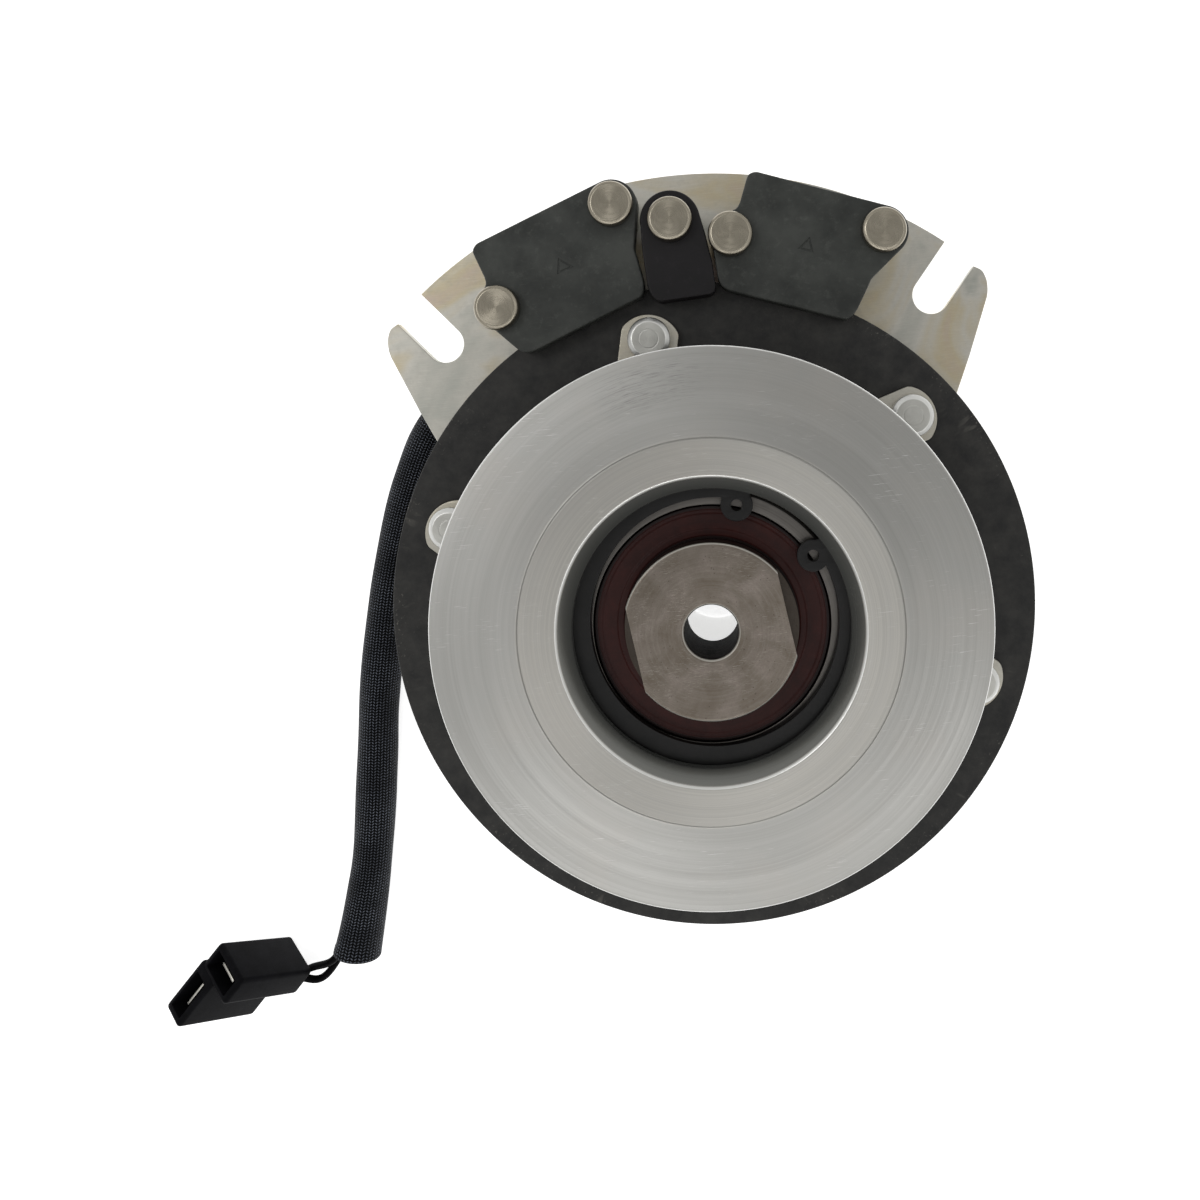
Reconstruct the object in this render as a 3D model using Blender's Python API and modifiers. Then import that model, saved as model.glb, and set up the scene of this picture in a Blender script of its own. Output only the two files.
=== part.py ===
"""Electric power take-off clutch with a single-groove belt pulley, lying on its rear (field) face.

Metres, +Z up. The clutch axis is vertical. The rear face of the coil housing is at z = 0 and the pulley's
front face is on top. The origin is under the middle of the body's bounding box, so the clutch axis stands at
(0, AXIS_Y). Every turned or pinned piece has its origin on that axis.
"""

import math

import bmesh
import bpy
from mathutils import Matrix, Vector

MM = 0.001

# ---------------------------------------------------------------- driving dimensions (millimetres)
AXIS_Y = -15.5  # clutch axis in the frame
FRONT_Z = 64.0  # front plane of pulley and hub nose

# pulley, 5 in outside diameter
PULLEY_R = 63.5
PULLEY_STEP_R = 42.8
PULLEY_MOUTH_R = 33.9
PULLEY_REAR_Z = 36.0
SEAT_R = 31.3  # bearing seat
GROOVE_TOP_Z, GROOVE_BOTTOM_Z = 58.9, 42.4
GROOVE_ROOT_R = 49.6

# bearings, 30 x 62 x 16 size
BEARING_OUT_R, BEARING_IN_R, BEARING_W = 31.0, 15.15, 16.0
RACE_OUT_R, RACE_IN_R = 27.2, 18.9
BALL_R, BALL_PITCH_R, BALLS = 4.6, 23.05, 9
FRONT_BEARING_Z = 39.5
REAR_BEARING_Z = 3.3

# hub, 7/8 in shaft bore
BORE_R = 11.15
JOURNAL_R = 14.9
SHOULDER_R = 19.0
KEYWAY_W, KEYWAY_R = 4.8, 13.2
NOSE_R, NOSE_FLAT, NOSE_FLAT_ANGLE = 19.83, 17.2, 7.65
NOSE_COLLAR_R = 18.3
NOSE_HOLE_R = 6.0
SPIGOT_R, SPIGOT_Z = 10.85, 47.0

# rotor disc
ROTOR_R, ROTOR_Z0, ROTOR_Z1 = 77.0, 20.5, 27.0
ROTOR_SLOT_R0, ROTOR_SLOT_R1 = 49.5, 53.5

# armature and star spring
ARM_R, ARM_IN_R, ARM_Z0, ARM_Z1 = 80.8, 39.0, 27.5, 34.0
SPRING_Z0, SPRING_Z1 = 34.3, 35.7
SPRING_IN_R, SPRING_RING_R = 33.0, 49.5
RIVET_PCR = 68.3  # outer rivets
RIVET_ANGLE0 = 38.0
ARM_WIDTH, ARM_SKEW, LUG_R = 14.4, 20.5, 8.0
INNER_RIVET_PCR, INNER_RIVET_ANGLE0 = 43.0, 8.0

# field
SHELL_R, SHELL_TOP_Z = 68.0, 19.9
PLATE_Z0, PLATE_Z1 = 16.0, 19.0
PLATE_ARC_R, PLATE_RING_R, PLATE_HOLE_R = 111.8, 73.0, 68.4
SLOT_C, SLOT_ANGLE, SLOT_HALF = (65.3, 73.05), 50.0, 5.0

# brake shoes, held off the plate by riveted posts
SHOE_Z0, SHOE_Z1 = 34.3, 39.4
CENTRE_SHOE_Z1 = 39.9
SHOE_L_C, SHOE_L_ANGLE = (-30.3, 89.9), 36.8
SHOE_R_C, SHOE_R_ANGLE = (31.95, 89.55), -4.25
PIN_HALF_SPAN = 18.8
PIN_HEAD_R, PIN_R, PIN_TOP_Z = 5.5, 3.05, 42.4
CENTRE_PIN = (-1.2, 95.9)

# lead
SLEEVE_R = 5.5
WIRE_R = 1.0
LEAD_EXIT, LEAD_HEADING, LEAD_Z = (-44.7, 56.9), 148.0, 8.5

# connector pose: mating direction, across the second barrel, along the first barrel
CON_T = (-130.94, -91.93, 21.43)
CON_U, CON_W, CON_V = (-0.354, 0.405, 0.843), (-0.612, -0.782, 0.119), (0.708, -0.473, 0.525)
CON_ROLL = -5.75
CON_A, CON_B, CON_L, CON_OFF = 13.3, 7.6, 25.4, -1.07


# ---------------------------------------------------------------- scene
for old in list(bpy.data.objects):
    bpy.data.objects.remove(old, do_unlink=True)
for group in list(bpy.data.collections):
    bpy.data.collections.remove(group)
scene = bpy.context.scene
clutch = bpy.data.collections.new("pto_clutch")
cutters = bpy.data.collections.new("cutters")
cutters.hide_render = True
scene.collection.children.link(clutch)
scene.collection.children.link(cutters)


def material(name, colour, metallic, roughness):
    made = bpy.data.materials.new(name)
    made.use_nodes = True
    shader = made.node_tree.nodes["Principled BSDF"]
    shader.inputs["Base Color"].default_value = (*colour, 1.0)
    shader.inputs["Metallic"].default_value = metallic
    shader.inputs["Roughness"].default_value = roughness
    made.diffuse_color = (*colour, 1.0)
    return made


FINISH = {
    "turned_steel": ((0.62, 0.61, 0.59), 1.0, 0.32),
    "worn_steel": ((0.40, 0.37, 0.35), 1.0, 0.42),
    "black_plate": ((0.035, 0.035, 0.036), 0.3, 0.55),
    "shoe_black": ((0.055, 0.06, 0.062), 0.2, 0.5),
    "centre_black": ((0.03, 0.027, 0.032), 0.2, 0.55),
    "zinc": ((0.70, 0.67, 0.58), 1.0, 0.38),
    "nickel": ((0.66, 0.61, 0.56), 1.0, 0.28),
    "bright_rivet": ((0.78, 0.78, 0.76), 1.0, 0.25),
    "spring_zinc": ((0.60, 0.56, 0.49), 1.0, 0.38),
    "bearing_steel": ((0.50, 0.50, 0.50), 1.0, 0.22),
    "cage_steel": ((0.45, 0.45, 0.44), 1.0, 0.3),
    "seal_brown": ((0.075, 0.022, 0.02), 0.0, 0.5),
    "circlip_black": ((0.02, 0.02, 0.02), 0.4, 0.4),
    "copper": ((0.60, 0.25, 0.12), 1.0, 0.35),
    "bobbin": ((0.25, 0.23, 0.20), 0.0, 0.6),
    "grommet": ((0.02, 0.02, 0.02), 0.0, 0.7),
    "sleeve": ((0.025, 0.026, 0.03), 0.0, 0.85),
    "wire_black": ((0.018, 0.018, 0.02), 0.0, 0.4),
    "connector_black": ((0.022, 0.022, 0.025), 0.0, 0.4),
    "blade_tin": ((0.80, 0.79, 0.76), 1.0, 0.25),
    "shell_steel": ((0.30, 0.30, 0.31), 1.0, 0.45),
    "rotor_steel": ((0.24, 0.24, 0.25), 1.0, 0.45),
}


def finish(obj, look, smooth=True, cutter=False):
    """Links the object, gives it its own material and, when it is round, smooth shading."""
    (cutters if cutter else clutch).objects.link(obj)
    if cutter:
        obj.hide_render = True
        obj.display_type = "WIRE"
        return obj
    obj.data.materials.clear()
    obj.data.materials.append(material(obj.name, *FINISH[look]))
    if smooth:
        obj.data.shade_smooth()
        obj.data.set_sharp_from_angle(angle=math.radians(32))
    return obj


def at_axis(obj):
    obj.location = (0.0, AXIS_Y * MM, 0.0)
    return obj


def turned(name, profile, look=None, steps=64, cutter=False):
    """Solid of revolution from a closed (radius, height) outline in mm, given clockwise seen with +r right, +z up."""
    area = sum(a[0] * b[1] - b[0] * a[1] for a, b in zip(profile, profile[1:] + profile[:1]))
    if area > 0:
        profile = profile[::-1]
    mesh = bpy.data.meshes.new(name)
    touching = any(r < 1e-6 for r, _ in profile)
    points = [(r * MM, 0.0, z * MM) for r, z in profile]
    if touching:
        first = next(i for i in range(len(profile)) if profile[i][0] < 1e-6 and profile[i - 1][0] < 1e-6)
        points = points[first:] + points[:first]
        edges = [(i, i + 1) for i in range(len(points) - 1)]
    else:
        edges = [(i, (i + 1) % len(points)) for i in range(len(points))]
    mesh.from_pydata(points, edges, [])
    obj = bpy.data.objects.new(name, mesh)
    screw = obj.modifiers.new("turn", "SCREW")
    screw.axis = "Z"
    screw.steps = screw.render_steps = steps
    screw.use_merge_vertices = True
    screw.merge_threshold = 0.00001
    screw.use_smooth_shade = True
    scene.collection.objects.link(obj)
    bpy.context.view_layer.update()
    graph = bpy.context.evaluated_depsgraph_get()
    solid = bpy.data.meshes.new_from_object(obj.evaluated_get(graph))
    scene.collection.objects.unlink(obj)
    bpy.data.objects.remove(obj)
    body = bmesh.new()
    body.from_mesh(solid)
    bmesh.ops.remove_doubles(body, verts=body.verts, dist=1e-6)
    bmesh.ops.recalc_face_normals(body, faces=body.faces)
    body.to_mesh(solid)
    body.free()
    solid.name = name
    made = bpy.data.objects.new(name, solid)
    return finish(made, look, cutter=cutter)


def circle(cx, cy, r, n, start=0.0):
    return [
        (cx + r * math.cos(math.radians(start) + 2 * math.pi * i / n), cy + r * math.sin(math.radians(start) + 2 * math.pi * i / n))
        for i in range(n)
    ]


def arc(cx, cy, r, a0, a1, n):
    return [
        (cx + r * math.cos(math.radians(a0 + (a1 - a0) * i / (n - 1))), cy + r * math.sin(math.radians(a0 + (a1 - a0) * i / (n - 1))))
        for i in range(n)
    ]


def flat(name, loops, z0, z1, look, smooth=True, cutter=False):
    """Flat piece cut from sheet or bar: the first loop is the outline and the others are holes."""
    data = bpy.data.curves.new(name, "CURVE")
    data.dimensions = "2D"
    data.fill_mode = "BOTH"
    data.extrude = (z1 - z0) / 2 * MM
    for loop in loops:
        line = data.splines.new("POLY")
        line.points.add(len(loop) - 1)
        for point, (x, y) in zip(line.points, loop):
            point.co = (x * MM, y * MM, 0.0, 1.0)
        line.use_cyclic_u = True
    guide = bpy.data.objects.new(name, data)
    scene.collection.objects.link(guide)
    bpy.context.view_layer.update()
    graph = bpy.context.evaluated_depsgraph_get()
    mesh = bpy.data.meshes.new_from_object(guide.evaluated_get(graph))
    bpy.data.objects.remove(guide)
    bpy.data.curves.remove(data)
    mesh.name = name
    body = bmesh.new()
    body.from_mesh(mesh)
    bmesh.ops.remove_doubles(body, verts=body.verts, dist=2e-6)
    bmesh.ops.translate(body, verts=body.verts, vec=(0, 0, (z0 + z1) / 2 * MM))
    bmesh.ops.recalc_face_normals(body, faces=body.faces)
    body.to_mesh(mesh)
    body.free()
    made = bpy.data.objects.new(name, mesh)
    return finish(made, look, smooth=smooth, cutter=cutter)


def block(name, size, look=None, matrix=None, bevel=0.0, cutter=False):
    """Box with its middle at the origin, then moved by the matrix (mm)."""
    mesh = bpy.data.meshes.new(name)
    body = bmesh.new()
    bmesh.ops.create_cube(body, size=1.0)
    bmesh.ops.scale(body, vec=[s * MM for s in size], verts=body.verts)
    if bevel:
        bmesh.ops.bevel(body, geom=body.edges[:], offset=bevel * MM, segments=1, affect="EDGES")
    if matrix is not None:
        bmesh.ops.transform(body, matrix=matrix, verts=body.verts)
    bmesh.ops.recalc_face_normals(body, faces=body.faces)
    body.to_mesh(mesh)
    body.free()
    made = bpy.data.objects.new(name, mesh)
    return finish(made, look, smooth=False, cutter=cutter)


def rod(name, r, a, b, n=20):
    """Round cutter between two points in mm."""
    a, b = Vector(a) * MM, Vector(b) * MM
    mesh = bpy.data.meshes.new(name)
    body = bmesh.new()
    turn = Vector((0, 0, 1)).rotation_difference((b - a).normalized()).to_matrix().to_4x4()
    bmesh.ops.create_cone(body, cap_ends=True, segments=n, radius1=r * MM, radius2=r * MM, depth=(b - a).length,
                          matrix=Matrix.Translation((a + b) / 2) @ turn)
    bmesh.ops.recalc_face_normals(body, faces=body.faces)
    body.to_mesh(mesh)
    body.free()
    return finish(bpy.data.objects.new(name, mesh), None, cutter=True)


def boolean(obj, other, operation="DIFFERENCE"):
    """Applies one exact Boolean to the object's mesh."""
    change = obj.modifiers.new(operation.lower(), "BOOLEAN")
    change.operation = operation
    change.solver = "EXACT"
    change.object = other
    bpy.context.view_layer.update()
    graph = bpy.context.evaluated_depsgraph_get()
    mesh = bpy.data.meshes.new_from_object(obj.evaluated_get(graph))
    obj.modifiers.remove(change)
    old = obj.data
    slots = list(old.materials)
    obj.data = mesh
    mesh.name = obj.name
    mesh.materials.clear()
    for slot in slots:
        mesh.materials.append(slot)
    body = bmesh.new()
    body.from_mesh(mesh)
    bmesh.ops.remove_doubles(body, verts=body.verts, dist=1e-6)
    body.to_mesh(mesh)
    body.free()
    bpy.data.meshes.remove(old)
    mesh.shade_smooth()
    mesh.set_sharp_from_angle(angle=math.radians(32))


def polar(r, angle):
    return (r * math.cos(math.radians(angle)), r * math.sin(math.radians(angle)))


def placed(point, centre, angle):
    x, y = point
    c, s = math.cos(math.radians(angle)), math.sin(math.radians(angle))
    return (centre[0] + x * c - y * s, centre[1] + x * s + y * c)


# ---------------------------------------------------------------- field: housing, coil and mounting plate
shell = at_axis(turned("field_shell", [
    (28.5, 0.0), (67.2, 0.0), (SHELL_R, 0.8), (SHELL_R, SHELL_TOP_Z), (64.0, SHELL_TOP_Z), (64.0, 3.0),
    (36.5, 3.0), (36.5, SHELL_TOP_Z), (SEAT_R, SHELL_TOP_Z), (SEAT_R, 3.0), (28.5, 3.0),
], "shell_steel", steps=40))
hx, hy = polar(1.0, LEAD_HEADING)
lead_hole = at_axis(rod("lead_hole", 5.0, (LEAD_EXIT[0] - 11 * hx, LEAD_EXIT[1] - 11 * hy, LEAD_Z),
                        (LEAD_EXIT[0] + 6 * hx, LEAD_EXIT[1] + 6 * hy, LEAD_Z), 16))
boolean(shell, lead_hole)

at_axis(turned("coil_bobbin", [
    (37.1, 3.3), (63.3, 3.3), (63.3, 4.8), (38.6, 4.8), (38.6, 17.3), (63.3, 17.3), (63.3, 18.8), (37.1, 18.8),
], "bobbin", steps=28))
at_axis(turned("coil_winding", [(39.3, 5.1), (62.4, 5.1), (62.4, 17.0), (39.3, 17.0)], "copper", steps=24))

# mounting plate: C of the slots, ears and ring
sx, sy = SLOT_C
dx, dy = polar(1.0, SLOT_ANGLE)
nx, ny = dy, -dx  # towards the ear tip
inner_wall = (sx - SLOT_HALF * nx, sy - SLOT_HALF * ny)
outer_wall = (sx + SLOT_HALF * nx, sy + SLOT_HALF * ny)


def along_to_radius(p, d, radius):
    b = p[0] * d[0] + p[1] * d[1]
    t = -b + math.sqrt(b * b - (p[0] ** 2 + p[1] ** 2) + radius ** 2)
    return (p[0] + t * d[0], p[1] + t * d[1])


corner = along_to_radius(inner_wall, (dx, dy), PLATE_ARC_R)
tip = along_to_radius(outer_wall, (dx, dy), 111.0)
right_side = (
    [corner]
    + [(sx + SLOT_HALF * math.cos(math.radians(a)), sy + SLOT_HALF * math.sin(math.radians(a)))
       for a in range(int(SLOT_ANGLE) + 90, int(SLOT_ANGLE) + 271, 20)]
    + [tip, (79.6, 78.4), (80.6, 75.6), (80.5, 72.0), (73.9, 55.9), (64.2, 34.6)]
)
top_arc_angle = math.degrees(math.atan2(corner[1], corner[0]))
plate_outline = (
    arc(0, 0, PLATE_ARC_R, 180 - top_arc_angle, top_arc_angle, 17)[1:-1]
    + right_side
    + arc(0, 0, PLATE_RING_R, 24.0, -204.0, 27)
    + [(-x, y) for x, y in reversed(right_side)]
)


def shoe_points(centre, angle):
    """Outline of the side brake shoe round its own middle; the posts stand at (-18.8, 0) and (18.8, 0)."""
    outline = (
        [(-14.6, 13.2), (-14.0, 14.9), (-12.2, 15.5)]
        + arc(PIN_HALF_SPAN, 0, 6.4, 76, -42, 8)
        + [(15.6, -11.8), (15.0, -13.2), (11.95, -19.3), (10.5, -21.0), (9.0, -21.7)]
        + [(-19.4, -13.8), (-21.2, -12.7), (-22.1, -10.9)]
        + arc(-PIN_HALF_SPAN, 0, 5.2, 214, 128, 6)
        + [(-16.9, 6.6), (-16.2, 8.0)]
    )
    return [placed(p, centre, angle) for p in outline]


pins = [
    placed((-PIN_HALF_SPAN, 0), SHOE_L_C, SHOE_L_ANGLE),
    placed((PIN_HALF_SPAN, 0), SHOE_L_C, SHOE_L_ANGLE),
    CENTRE_PIN,
    placed((-PIN_HALF_SPAN, 0), SHOE_R_C, SHOE_R_ANGLE),
    placed((PIN_HALF_SPAN, 0), SHOE_R_C, SHOE_R_ANGLE),
]
at_axis(flat("mounting_plate", [plate_outline, circle(0, 0, PLATE_HOLE_R, 44)]
             + [circle(x, y, 3.4, 10) for x, y in pins], PLATE_Z0, PLATE_Z1, "zinc"))

# ---------------------------------------------------------------- brake
at_axis(flat("brake_shoe_left", [shoe_points(SHOE_L_C, SHOE_L_ANGLE)] + [circle(*pins[i], 3.4, 10) for i in (0, 1)],
             SHOE_Z0, SHOE_Z1, "shoe_black"))
at_axis(flat("brake_shoe_right", [shoe_points(SHOE_R_C, SHOE_R_ANGLE)] + [circle(*pins[i], 3.4, 10) for i in (3, 4)],
             SHOE_Z0, SHOE_Z1, "shoe_black"))
centre_outline = (
    arc(*CENTRE_PIN, 7.4, 188, 8, 13)
    + [(7.1, 92.0), (8.1, 85.0), (8.4, 78.6), (8.0, 77.3), (6.9, 76.7)]
    + [(-5.6, 76.1), (-7.2, 77.2), (-8.2, 79.6), (-8.7, 89.0)]
)
at_axis(flat("brake_shoe_centre", [centre_outline, circle(*CENTRE_PIN, 3.4, 10)], SHOE_Z0, CENTRE_SHOE_Z1, "centre_black"))

for i, (x, y) in enumerate(pins):
    top = PIN_TOP_Z + (0.5 if i == 2 else 0.0)
    under = (CENTRE_SHOE_Z1 if i == 2 else SHOE_Z1) + 0.3
    post = turned(f"brake_post_{i + 1}", [
        (0.0, 13.2), (4.2, 13.2), (4.8, 13.8), (4.8, 15.7), (PIN_R, 15.7), (PIN_R, under),
        (PIN_HEAD_R, under), (PIN_HEAD_R, top - 0.9), (PIN_HEAD_R - 0.25, top - 0.35), (PIN_HEAD_R - 0.9, top), (0.0, top),
    ], "nickel", steps=14)
    post.location = (x * MM, (y + AXIS_Y) * MM, 0.0)
    spacer = turned(f"brake_spacer_{i + 1}", [(3.5, 19.3), (5.2, 19.3), (5.2, 34.0), (3.5, 34.0)], "zinc", steps=12)
    spacer.location = (x * MM, (y + AXIS_Y) * MM, 0.0)


# ---------------------------------------------------------------- bearings
def bearing(prefix, z0):
    z1, mid = z0 + BEARING_W, z0 + BEARING_W / 2
    at_axis(turned(f"{prefix}_outer_ring", [
        (RACE_OUT_R, z0), (BEARING_OUT_R - 0.5, z0), (BEARING_OUT_R, z0 + 0.5), (BEARING_OUT_R, z1 - 0.5),
        (BEARING_OUT_R - 0.5, z1), (RACE_OUT_R, z1), (RACE_OUT_R, mid + 3.2), (RACE_OUT_R + 0.9, mid), (RACE_OUT_R, mid - 3.2),
    ], "bearing_steel", steps=26))
    at_axis(turned(f"{prefix}_inner_ring", [
        (BEARING_IN_R, z0), (RACE_IN_R, z0), (RACE_IN_R, mid - 3.2), (RACE_IN_R - 0.9, mid), (RACE_IN_R, mid + 3.2),
        (RACE_IN_R, z1), (BEARING_IN_R, z1),
    ], "bearing_steel", steps=24))
    cage = turned(f"{prefix}_balls_and_cage", [
        (BALL_PITCH_R - 0.8, mid - 1.4), (BALL_PITCH_R + 0.8, mid - 1.4), (BALL_PITCH_R + 0.8, mid + 1.4), (BALL_PITCH_R - 0.8, mid + 1.4),
    ], "cage_steel", steps=18)
    mesh = bpy.data.meshes.new(f"{prefix}_balls")
    body = bmesh.new()
    for i in range(BALLS):
        x, y = polar(BALL_PITCH_R, 5.0 + 360 / BALLS * i)
        bmesh.ops.create_uvsphere(body, u_segments=6, v_segments=4, radius=BALL_R * MM,
                                  matrix=Matrix.Translation((x * MM, y * MM, mid * MM)))
    bmesh.ops.recalc_face_normals(body, faces=body.faces)
    body.to_mesh(mesh)
    body.free()
    balls = finish(bpy.data.objects.new(f"{prefix}_balls", mesh), None, cutter=True)
    boolean(cage, balls, "UNION")
    at_axis(cage)
    at_axis(balls)
    for side, low in (("rear", z0 + 0.25), ("front", z1 - 1.55)):
        lip = low + (1.3 if side == "front" else 0.0)
        flat_side = low + (0.0 if side == "front" else 1.3)
        ridge = -0.35 if side == "front" else 0.35
        at_axis(turned(f"{prefix}_seal_{side}", [
            (19.3, flat_side), (26.9, flat_side), (26.9, lip), (25.4, lip), (25.0, lip + ridge), (21.9, lip + ridge), (21.5, lip), (19.3, lip),
        ] if (prefix, side) == ("front_bearing", "front") else [(19.3, flat_side), (26.9, flat_side), (26.9, lip), (19.3, lip)], "seal_brown", steps=32))


bearing("rear_bearing", REAR_BEARING_Z)
bearing("front_bearing", FRONT_BEARING_Z)

# ---------------------------------------------------------------- rotor
banana = []
for i in range(6):
    a0, a1 = 60 * i + 8.0, 60 * i + 52.0
    banana.append(arc(0, 0, ROTOR_SLOT_R1, a0, a1, 5) + arc(0, 0, ROTOR_SLOT_R0, a1, a0, 5))
at_axis(flat("rotor_disc", [circle(0, 0, ROTOR_R, 56), circle(0, 0, SHOULDER_R + 0.4, 24)] + banana,
             ROTOR_Z0, ROTOR_Z1, "rotor_steel"))
hub = at_axis(turned("rotor_hub", [
    (BORE_R, 0.4), (14.4, 0.4), (JOURNAL_R, 0.9), (JOURNAL_R, 1.2), (13.9, 1.2), (13.9, 3.0), (JOURNAL_R, 3.0),
    (JOURNAL_R, 19.6), (SHOULDER_R, 19.6), (SHOULDER_R, 39.2), (JOURNAL_R, 39.2), (JOURNAL_R, 55.2), (BORE_R, 55.2),
], "worn_steel", steps=28))
# the keyway is on the +Y side of the bore, out of sight through the bolt hole from the front
key_cut = at_axis(block("keyway_cut", (KEYWAY_W, KEYWAY_R, 46.0 + 2.0), cutter=True,
                        matrix=Matrix.Translation((0, KEYWAY_R / 2 * MM, (46.0 - 2.0) / 2 * MM))))
boolean(hub, key_cut)
nose = at_axis(turned("hub_nose", [
    (NOSE_HOLE_R, SPIGOT_Z), (SPIGOT_R, SPIGOT_Z), (SPIGOT_R, 55.8), (NOSE_COLLAR_R, 55.8), (NOSE_COLLAR_R, 58.6),
    (NOSE_R, 58.6), (NOSE_R, 63.5), (NOSE_R - 0.5, FRONT_Z), (NOSE_HOLE_R + 0.5, FRONT_Z), (NOSE_HOLE_R, 63.5),
], "worn_steel", steps=40))
for i, side in enumerate((0.0, 180.0)):
    turn = Matrix.Rotation(math.radians(NOSE_FLAT_ANGLE + side), 4, "Z") @ Matrix.Translation(((NOSE_FLAT + 5) * MM, 0, 63.6 * MM))
    boolean(nose, at_axis(block(f"nose_flat_cut_{i + 1}", (10.0, 50.0, 9.9), matrix=turn, cutter=True)))
clip_arc = 330.0
at_axis(flat("rear_circlip", [arc(0, 0, 18.6, 285, 285 + clip_arc, 22) + arc(0, 0, 14.25, 285 + clip_arc, 285, 22)],
             1.5, 2.7, "circlip_black"))

# ---------------------------------------------------------------- pulley
inner_rivets = [polar(INNER_RIVET_PCR, INNER_RIVET_ANGLE0 + 120 * i) for i in range(3)]
outer_rivets = [polar(RIVET_PCR, RIVET_ANGLE0 + 60 * i) for i in range(6)]
pulley = at_axis(turned("pulley", [
    (27.5, PULLEY_REAR_Z), (51.0, PULLEY_REAR_Z), (52.0, 37.2), (62.6, 40.2), (PULLEY_R, 41.0), (PULLEY_R, GROOVE_BOTTOM_Z),
    (GROOVE_ROOT_R, 46.9), (GROOVE_ROOT_R, 54.4), (PULLEY_R, GROOVE_TOP_Z), (PULLEY_R, 60.35), (63.2, 60.6),
    (PULLEY_STEP_R + 0.25, 63.55), (PULLEY_STEP_R, FRONT_Z), (34.6, FRONT_Z), (PULLEY_MOUTH_R, 63.4),
    (31.35, 60.3), (31.35, 58.1), (33.2, 58.1), (33.2, 55.8), (SEAT_R, 55.8), (SEAT_R, 39.2), (27.5, 39.2),
], "turned_steel", steps=48))
for i, (x, y) in enumerate(inner_rivets):
    boolean(pulley, at_axis(rod(f"pulley_rivet_hole_{i + 1}", 3.3, (x, y, 33.0), (x, y, 44.0), 10)))

# internal retaining ring in the pulley bore: thick opposite its gap, two eared ends
GAP_ANGLE, GAP_HALF, EAR_PCR, EAR_R = 50.9, 21.85, 27.9, 3.7


def eared_ring():
    """One closed outline: outer edge, right ear, inner edge, left ear."""
    left, right = GAP_ANGLE + GAP_HALF, GAP_ANGLE - GAP_HALF + 360
    join = 6.9  # from an ear's middle to where the inner edge meets it
    outline = arc(0, 0, 32.8, left - 4, right + 4, 36)
    outline += arc(*polar(EAR_PCR, right), EAR_R, right + 42, right + 285, 7)
    for i in range(28):
        a = right - join - (right - left - 2 * join) * i / 27
        lean = (1 - math.cos(math.radians(a - GAP_ANGLE))) / 2
        outline.append(polar(29.3 - 2.3 * lean, a))
    return outline + arc(*polar(EAR_PCR, left), EAR_R, left + 75, left + 318, 7)


at_axis(flat("front_circlip", [eared_ring(), circle(*polar(EAR_PCR, GAP_ANGLE + GAP_HALF), 1.3, 8),
                               circle(*polar(EAR_PCR, GAP_ANGLE - GAP_HALF), 1.3, 8)], 56.1, 57.8, "circlip_black"))


def star_outline():
    """Ring with six skewed arms; each arm ends in a rounded lug outside its rivet."""
    outline = []
    half = ARM_WIDTH / 2
    for k in range(6):
        angle = RIVET_ANGLE0 - 60 * k  # clockwise
        px, py = polar(RIVET_PCR, angle)
        ux, uy = polar(1.0, angle - ARM_SKEW)  # outward along the arm
        vx, vy = -uy, ux
        for side in (1, -1):
            # where this side of the arm meets the ring
            qx, qy = px + side * half * vx, py + side * half * vy
            b = qx * ux + qy * uy
            t = -b + math.sqrt(b * b - (qx * qx + qy * qy) + SPRING_RING_R ** 2)
            root = (qx + t * ux, qy + t * uy)
            if side == 1:
                outline.append(root)
                lug = []
                cx, cy = px - 1.3 * ux, py - 1.3 * uy
                edge = math.degrees(math.asin((half - 0.4) / LUG_R))
                base = math.degrees(math.atan2(uy, ux))
                for i in range(7):
                    a = math.radians(base + edge - 2 * edge * i / 6)
                    lug.append((cx + LUG_R * math.cos(a), cy + LUG_R * math.sin(a)))
                first = (cx + (LUG_R * math.cos(math.radians(edge)) - 0.9) * ux + half * vx, cy + (LUG_R * math.cos(math.radians(edge)) - 0.9) * uy + half * vy)
                last = (first[0] - 2 * half * vx, first[1] - 2 * half * vy)
                outline += [first] + lug + [last]
            else:
                outline.append(root)
        # ring edge between this arm and the next
        a0 = math.degrees(math.atan2(outline[-1][1], outline[-1][0]))
        nxt = RIVET_ANGLE0 - 60 * (k + 1)
        qx, qy = polar(RIVET_PCR, nxt)
        wx, wy = polar(1.0, nxt - ARM_SKEW)
        qx, qy = qx - half * wy, qy + half * wx
        b = qx * wx + qy * wy
        t = -b + math.sqrt(b * b - (qx * qx + qy * qy) + SPRING_RING_R ** 2)
        a1 = math.degrees(math.atan2(qy + t * wy, qx + t * wx))
        while a1 > a0:
            a1 -= 360
        outline += arc(0, 0, SPRING_RING_R, a0, a1, 5)[1:-1]
    return outline


at_axis(flat("star_spring", [star_outline(), circle(0, 0, SPRING_IN_R, 32)] + [circle(x, y, 3.4, 10) for x, y in inner_rivets + outer_rivets],
             SPRING_Z0, SPRING_Z1, "spring_zinc"))
for i, (x, y) in enumerate(inner_rivets):
    rivet = turned(f"spring_rivet_{i + 1}", [
        (0.0, 31.9), (4.6, 31.9), (5.4, 32.7), (5.4, 34.0), (3.0, 34.0), (3.0, 43.6), (0.0, 43.6),
    ], "bright_rivet", steps=12)
    rivet.data.transform(Matrix.Translation((x * MM, y * MM, 0.0)))
    at_axis(rivet)

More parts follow.
